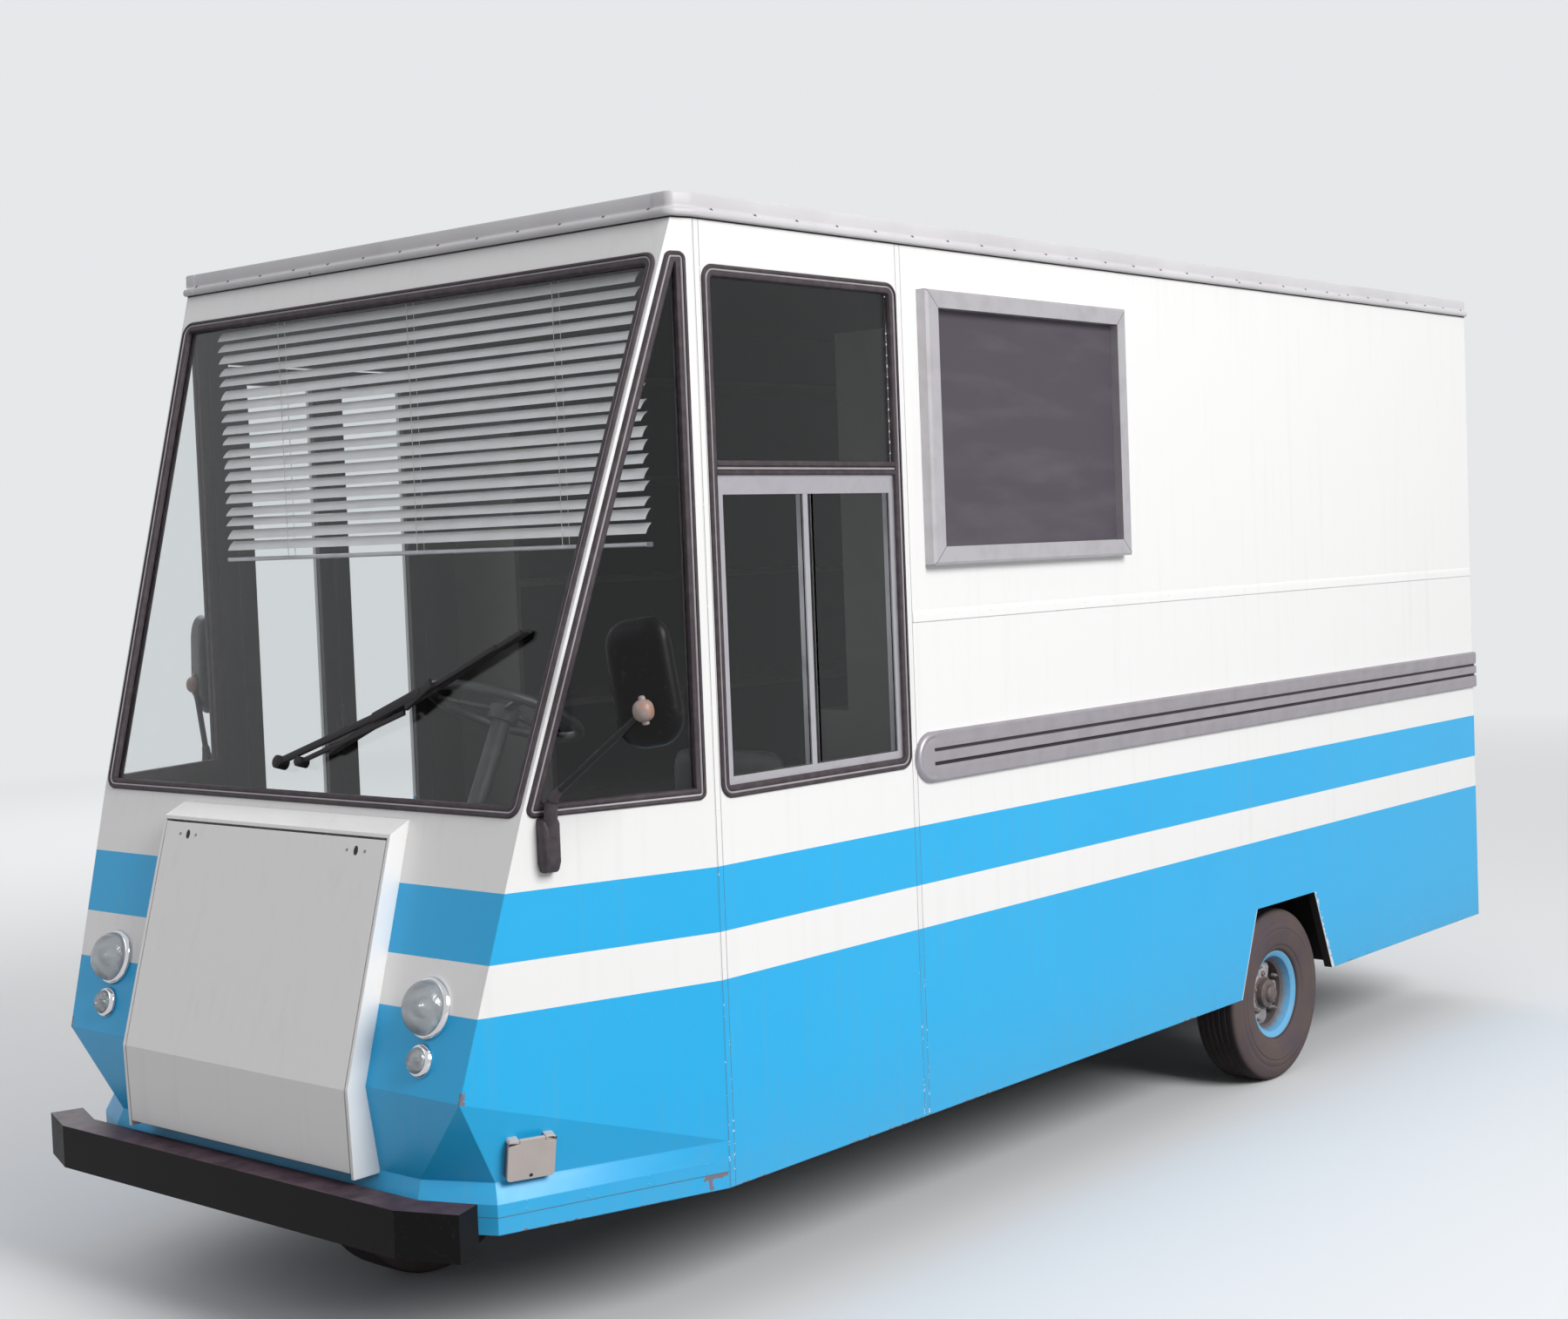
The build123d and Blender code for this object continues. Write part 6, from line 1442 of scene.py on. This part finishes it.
    def clamp(self, face, grip):
        """Two pressed cheeks round a ball, with a bolt through them: bodies turned about straight lines."""
        t = np.linspace(0, math.pi, 14)
        ball = np.stack([0.0215 * np.sin(t), 0.0215 * np.cos(t)], axis=-1)
        cheeks = smoothed([
            (0.0, 0.0245), (0.012, 0.0245), (0.0225, 0.016), (0.0255, 0.004),
            (0.0255, -0.004), (0.0225, -0.016), (0.012, -0.0245), (0.0, -0.0245),
        ], 1)
        bolt = [
            (0.0, 0.034), (0.005, 0.0335), (0.0085, 0.030), (0.009, 0.026),
            (0.009, -0.026), (0.0085, -0.031), (0.0, -0.034),
        ]
        stem = [(0.0, 0.004), (0.015, 0.004), (0.015, -0.034), (0.0, -0.034)]
        return [
            revolved(ball, grip, face.across, (0, 0, 1), 20),
            revolved(cheeks, grip, face.up, (1, 0, 0), 24),
            revolved(bolt, grip, face.up, (1, 0, 0), 12),
            revolved(stem, grip, face.out, (0, 0, 1), 16),
        ]


class VAN_OT_charging(bpy.types.Operator):
    """Charging box with its socket well, hinge ears and lid."""
    bl_idname = "van.charging"
    bl_label = "Charging box"

    def execute(self, context):
        outer = np.array([cheek_x(KINK_Y) - 0.015, KINK_Y + 0.106, 0.445])
        bend = np.array([HALF_W, BEND_Y, 0.445])
        kink = np.array([cheek_x(KINK_Y), KINK_Y, KINK_Z])
        normal = np.cross(outer - kink, bend - kink)
        face = Face(outer, bend - outer, np.cross(normal, bend - outer))
        wide, low, high = 0.057, -0.046, 0.0556
        shoulder, neck, gap = 0.0456, 0.0305, 0.0008
        box_out, lid_out = 0.016, 0.0240
        radii = np.array([0.009, 0.009, 0.001, 0.001])
        edge = rounded_loop([(-wide, low), (wide, low), (wide, -low), (-wide, -low)], radii, 8)
        turn = np.arctan2(edge[:, 1], edge[:, 0])
        well = 0.024 * np.stack([np.cos(turn), np.sin(turn)], axis=-1)
        brim = self.inset(edge, 0.0005)
        steps = [(edge, 0.0), (edge, box_out - 0.0005), (brim, box_out), (well, box_out), (well, 0.003)]
        ears = []
        for side in (-1, 1):
            foot, inner = shoulder + gap, neck + gap - 0.0001
            corners = [(inner, foot), (wide, foot), (wide, high), (inner, high)]
            ear = rounded_loop(corners, np.array([0.0015, 0.0015, 0.008, 0.0015]), 8)
            if side < 0:
                ear = (ear * [-1, 1])[::-1]
            ears += self.plate(face, ear, 0.0, lid_out)
        shade = plain_enamel("charging_box_plastic_shaded", "#6B5B63", 0.55, "#5A4A52", 50)
        box = self.rings(face, steps)
        make_piece("charging_box", box, shade, "body", ["charge_inlet"])
        grey = finish_of("warm_grey_moulded_plastic")
        make_piece("charging_ears", ears, grey, "body", crease=15)
        half = [(wide, low), (wide, shoulder), (neck, shoulder), (neck, high)]
        corners = [(-wide, low)] + half + [(-x, y) for x, y in half[:0:-1]]
        lid = rounded_loop(corners, np.array([0.009, 0.009, 0.002, 0.0015, 0.002, 0.002, 0.0015, 0.002]), 8)
        lid = self.plate(face, lid, box_out + 0.0003, lid_out)
        make_piece("charging_lid", lid, grey, "charge_lid", ["charge_flap"], crease=15)
        t = np.linspace(0, 2 * math.pi, 20, endpoint=False)
        hole = np.stack([0.0045 * np.cos(t), low + 0.010 + 0.0045 * np.sin(t)], axis=-1)
        key = self.rings(face, [(hole, lid_out - 0.0005), (hole, lid_out + 0.0003)])
        black = finish_of("moulded_rubber_black")
        make_piece("charging_keyhole", key, black, "charge_lid")
        return {"FINISHED"}

    def inset(self, loop, amount):
        """The outline drawn in by an even amount."""
        return loop - loop_normals(loop) * amount

    def rings(self, face, steps):
        """Outlines on the box's face, one above the other, closed at both ends."""
        aside, above = 0.076, 0.054
        points = [face.place(loop[:, 0] + aside, loop[:, 1] + above, out) for loop, out in steps]
        return [surface(np.stack(points), wrap_columns=True, cap_rows=True)]

    def plate(self, face, loop, low, high):
        """Plate with a softly broken edge."""
        cuts = ((0.0, 0.0012), (0.0004, 0.0004), (0.0012, 0.0))
        soft = [(self.inset(loop, cut), high - fall) for cut, fall in cuts]
        return self.rings(face, [(loop, low)] + soft)


class VAN_OT_wiper(bpy.types.Operator):
    """Wiper with a main arm, a thin parallel link and a jointed blade."""
    bl_idname = "van.wiper"
    bl_label = "Wiper"

    def execute(self, context):
        wide = cheek_x(nose_y(SCREEN_BOTTOM_Z)) - SCREEN_MARGIN
        pivot = np.array([-0.073, 0.098])
        heel = np.array([0.112, 0.130])
        tip = np.array([wide - 0.081, 0.440])
        grip = heel + 0.50 * (tip - heel)
        second = pivot + [0.085, 0.004]
        # Each bar: where it starts and ends, both with their heights over the glass, its width and thickness
        bars = [
            (pivot, 0.013, grip + [-0.15, -0.062], 0.016, 0.019, 0.010),
            (grip + [-0.16, -0.066], 0.015, grip, 0.018, 0.026, 0.014),
            (second, 0.010, grip + [-0.05, -0.05], 0.014, 0.013, 0.007),
            (grip + [-0.045, -0.035], 0.018, grip + [0.035, 0.022], 0.020, 0.026, 0.009),
        ]
        shapes = [self.bar(*bar) for bar in bars]
        for place, radius in ((pivot, 0.017), (second, 0.013)):
            boss = [(0.0, 0.026), (radius * 0.6, 0.026), (radius, 0.021), (radius, -0.008), (0.0, -0.008)]
            shapes.append(revolved(boss, SCREEN.place(*place), SCREEN.out, (0, 0, 1), 20))
        run = tip - heel
        for start, end, height in ((0.16, 0.86, 0.013), (0.02, 0.34, 0.009), (0.66, 0.98, 0.009)):
            shapes.append(self.bar(heel + run * start, height, heel + run * end, height, 0.015, 0.007))
        black = finish_of("black_arm_enamel")
        make_piece("wiper_arms", shapes, black, "body", ["wiper"])
        lip = [self.bar(heel, -0.002, tip, -0.002, 0.011, 0.014)]
        make_piece("wiper_rubber", lip, finish_of("moulded_rubber_black"), "body")
        return {"FINISHED"}

    def bar(self, start, out_start, end, out_end, width, height):
        """Rounded bar over the windscreen from one place to another."""
        a, b = SCREEN.place(*start, out_start), SCREEN.place(*end, out_end)
        return swept_bar(a, b, round_box_profile(width, height, min(width, height) * 0.3, 3), up=SCREEN.out)


class VAN_OT_blind(bpy.types.Operator):
    """Slatted blind behind the windscreen."""
    bl_idname = "van.blind"
    bl_label = "Blind"

    def execute(self, context):
        cabin = context.scene.van_cabin
        low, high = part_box("blind")
        x0, x1, y = low.x, high.x, (low.y + high.y) / 2
        top, foot = high.z - 0.024, low.z + 0.012
        pitch = (top - foot) / (cabin.slats + 1)
        half = cabin.slat_width / 2
        t = np.linspace(-1, 1, 7)
        crown = 0.0022 * (1 - t ** 2)
        outer = np.stack([t * half, crown], axis=-1)
        inner = np.stack([t[::-1] * half, crown[::-1] - 0.0004], axis=-1)
        section = np.concatenate([outer, inner])
        slats = []
        for i in range(cabin.slats):
            tilt = math.radians(50 + 4 * math.sin(2.1 * i) + 3 * math.sin(5.3 * i + 1))
            turned = section @ np.array([[math.cos(tilt), math.sin(tilt)], [-math.sin(tilt), math.cos(tilt)]])
            sag = 0.002 * math.sin(3.7 * i)
            z = foot + pitch * (i + 1)
            x = np.array([x0 + 0.002, 0.0, x1 - 0.002])[:, None]
            level = np.array([z + sag, z - 0.0015, z - sag])[:, None]
            rings = np.broadcast_arrays(x, y + turned[:, 0], level + turned[:, 1])
            slats.append(surface(np.stack(rings, axis=-1), wrap_columns=True, cap_rows=True))
        finish = plain_enamel("blind_slat_lacquer_on_aluminium", "#F2F0F0", 0.35, "#D8D5D5", 90)
        make_piece("blind_slats", slats, finish, "body", ["blind"])
        head, sill = high.z - 0.012, low.z + 0.006
        rails = [
            swept_bar((x0, y, head), (x1, y, head), round_box_profile(0.024, 0.024, 0.003)),
            swept_bar((x0, y, sill), (x1, y, sill), round_box_profile(0.022, 0.012, 0.004)),
        ]
        satin = finish_of("satin_anodised_aluminium")
        make_piece("blind_rails", rails, satin, "body")
        cords = []
        for x in (-0.56, 0.0, 0.56):
            for dy in (-0.0115, 0.0115):
                cords.append(tube([(x, y + dy, sill), (x, y + dy, head - 0.008)], 0.0009, 6))
        white = plain_enamel("braided_blind_cord", "#DEDAD2", 0.8, "#B5B0A6", 4)
        make_piece("blind_ladder_cords", cords, white, "body")
        return {"FINISHED"}


class VAN_OT_bonnet(bpy.types.Operator):
    """Key locks and the screws beside them on the bonnet panel."""
    bl_idname = "van.bonnet"
    bl_label = "Bonnet fittings"

    def execute(self, context):
        proud = 0.050
        height = 1.165
        up = (height - KINK_Z) * math.hypot(1, NOSE_SLOPE)
        locks, screws = [], []
        turn = np.linspace(0, 2 * math.pi, 20, endpoint=False)
        for x in (-0.345, 0.345):
            rings = []
            for k, out in ((1.0, -0.001), (1.0, 0.0006), (0.8, 0.0010)):
                across, above = 0.0075 * k * np.cos(turn), 0.0115 * k * np.sin(turn)
                rings.append(NOSE.place(x + across, up + above, proud + out))
            locks.append(surface(np.stack(rings), wrap_columns=True, cap_rows=True))
            spots = np.stack([NOSE.place(x - 0.034, up, proud), NOSE.place(x + 0.034, up, proud)])
            screws.append(domes(spots, NOSE.out, 0.0045, 0.0016))
        make_piece("bonnet_locks", locks, finish_of("moulded_rubber_black"), "bonnet")
        steel = finish_of("galvanised_steel_dull")
        make_piece("bonnet_screws", screws, steel, "bonnet", tidy=False)
        return {"FINISHED"}


class VAN_OT_seat(bpy.types.Operator):
    """Driver's cushion and backrest, swollen by their stuffing."""
    bl_idname = "van.seat"
    bl_label = "Seat cushions"

    def execute(self, context):
        low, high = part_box("seat_cushions")
        seat_back = KINK_Y + 1.060
        cushion = ((low.x, high.x), (seat_back - 0.200, seat_back + 0.150), (low.z, 1.040))
        backrest = ((low.x, high.x), (seat_back + 0.2123, high.y), (1.020, high.z))
        vinyl = grained_vinyl("padded_seat_vinyl_black", "#1E1D1F", 2.2)
        swell = context.scene.van_cabin.swell
        for name, spans in (("seat_cushion", cushion), ("seat_backrest", backrest)):
            piece = self.pad(name, spans, swell, vinyl)
            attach(piece, "body")
            if name == "seat_cushion":
                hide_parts("seat_cushions")
        return {"FINISHED"}

    def pad(self, name, spans, swell, finish):
        """Superellipsoid: x = a cos u cos v, y = b sin u cos v, z = h sin v, each raised to a small power."""
        inset = swell * 0.75
        middle = np.array([(a + b) / 2 for a, b in spans])
        half = np.array([(b - a) / 2 - inset for a, b in spans])
        around, tall = 96, 48
        u = np.linspace(0, 2 * math.pi, around, endpoint=False)[:, None]
        near_pole = math.pi / 2 * 0.985
        v = np.linspace(-near_pole, near_pole, tall)[None, :]

        def power(value, sharpness):
            return np.sign(value) * np.abs(value) ** sharpness

        thin = int(np.argmin(half))
        wide = [i for i in range(3) if i != thin]
        points = np.empty((around, tall, 3))
        for i, turn in zip(wide, (np.cos(u), np.sin(u))):
            points[..., i] = middle[i] + half[i] * power(turn, 0.3) * power(np.cos(v), 0.35)
        points[..., thin] = middle[thin] + half[thin] * power(np.sin(v), 0.6) * np.ones_like(u)
        grid, faces = surface(points, wrap_rows=True, cap_columns=True)
        mesh = bpy.data.meshes.new(name)
        mesh.from_pydata(grid.tolist(), [], faces)
        piece = bpy.data.objects.new(name, mesh)
        bpy.context.scene.collection.objects.link(piece)
        clean_normals(mesh)
        mesh.materials.append(finish)
        self.swell(piece, swell)
        mesh = piece.data
        mesh.shade_smooth()
        smooth = piece.modifiers.new("smooth_cover", "SUBSURF")
        smooth.levels = smooth.render_levels = 1
        return piece

    def swell(self, piece, cap):
        """Remeshes the block and lets cloth under pressure push it out, no point further than the cap."""
        remesh = piece.modifiers.new("even_mesh", "REMESH")
        remesh.mode = "VOXEL"
        remesh.voxel_size = 0.006
        self.apply(piece)
        start = np.empty(len(piece.data.vertices) * 3)
        piece.data.vertices.foreach_get("co", start)
        cloth = piece.modifiers.new("stuffed_cover", "CLOTH")
        cloth.settings.use_pressure = True
        cloth.settings.uniform_pressure_force = 4.0
        cloth.settings.effector_weights.gravity = 0.0
        cloth.settings.tension_stiffness = 20.0
        cloth.settings.bending_stiffness = 2.0
        settled = 20
        for step in range(1, settled + 1):
            bpy.context.scene.frame_set(step)
        self.apply(piece)
        end = np.empty(len(start))
        piece.data.vertices.foreach_get("co", end)
        move = (end - start).reshape(-1, 3)
        moved = np.linalg.norm(move, axis=1)[:, None]
        move *= np.minimum(1, cap * 0.6 / np.maximum(moved, 1e-9))
        piece.data.vertices.foreach_set("co", (start.reshape(-1, 3) + move).ravel())
        bpy.context.scene.frame_set(1)

    def apply(self, piece):
        """Turns the piece's modifiers into its mesh."""
        shape = piece.evaluated_get(bpy.context.evaluated_depsgraph_get())
        mesh = bpy.data.meshes.new_from_object(shape)
        piece.modifiers.clear()
        piece.data = mesh


class VAN_PT_panel(bpy.types.Panel):
    """Lists the pieces of the van."""
    bl_idname = "VAN_PT_panel"
    bl_label = "Shop Van"
    bl_space_type = "VIEW_3D"
    bl_region_type = "UI"
    bl_category = "Shop Van"

    def draw(self, context):
        for operator in PIECES:
            self.layout.operator(operator.bl_idname)
        for group in GROUPS:
            settings = getattr(context.scene, group)
            for name in settings.bl_rna.properties.keys():
                if name not in ("rna_type", "name"):
                    self.layout.prop(settings, name)


GROUPS = {"van_paint": VanPaint, "van_trim": VanTrim, "van_wheels": VanWheels, "van_cabin": VanCabin}
PIECES = [
    VAN_OT_paint, VAN_OT_seals, VAN_OT_roof, VAN_OT_mouldings, VAN_OT_wheels, VAN_OT_lamps, VAN_OT_mirrors,
    VAN_OT_charging, VAN_OT_wiper, VAN_OT_blind, VAN_OT_bonnet, VAN_OT_seat, VAN_OT_stage,
]


def register():
    for group in GROUPS.values():
        bpy.utils.register_class(group)
    for name, group in GROUPS.items():
        setattr(bpy.types.Scene, name, bpy.props.PointerProperty(type=group))
    for operator in PIECES:
        bpy.utils.register_class(operator)
    bpy.utils.register_class(VAN_PT_panel)


def unregister():
    bpy.utils.unregister_class(VAN_PT_panel)
    for operator in reversed(PIECES):
        bpy.utils.unregister_class(operator)
    for name in GROUPS:
        delattr(bpy.types.Scene, name)
    for group in reversed(list(GROUPS.values())):
        bpy.utils.unregister_class(group)


def main():
    register()
    for operator in PIECES:
        group, name = operator.bl_idname.split(".")
        getattr(getattr(bpy.ops, group), name)()


if __name__ == "__main__":
    main()
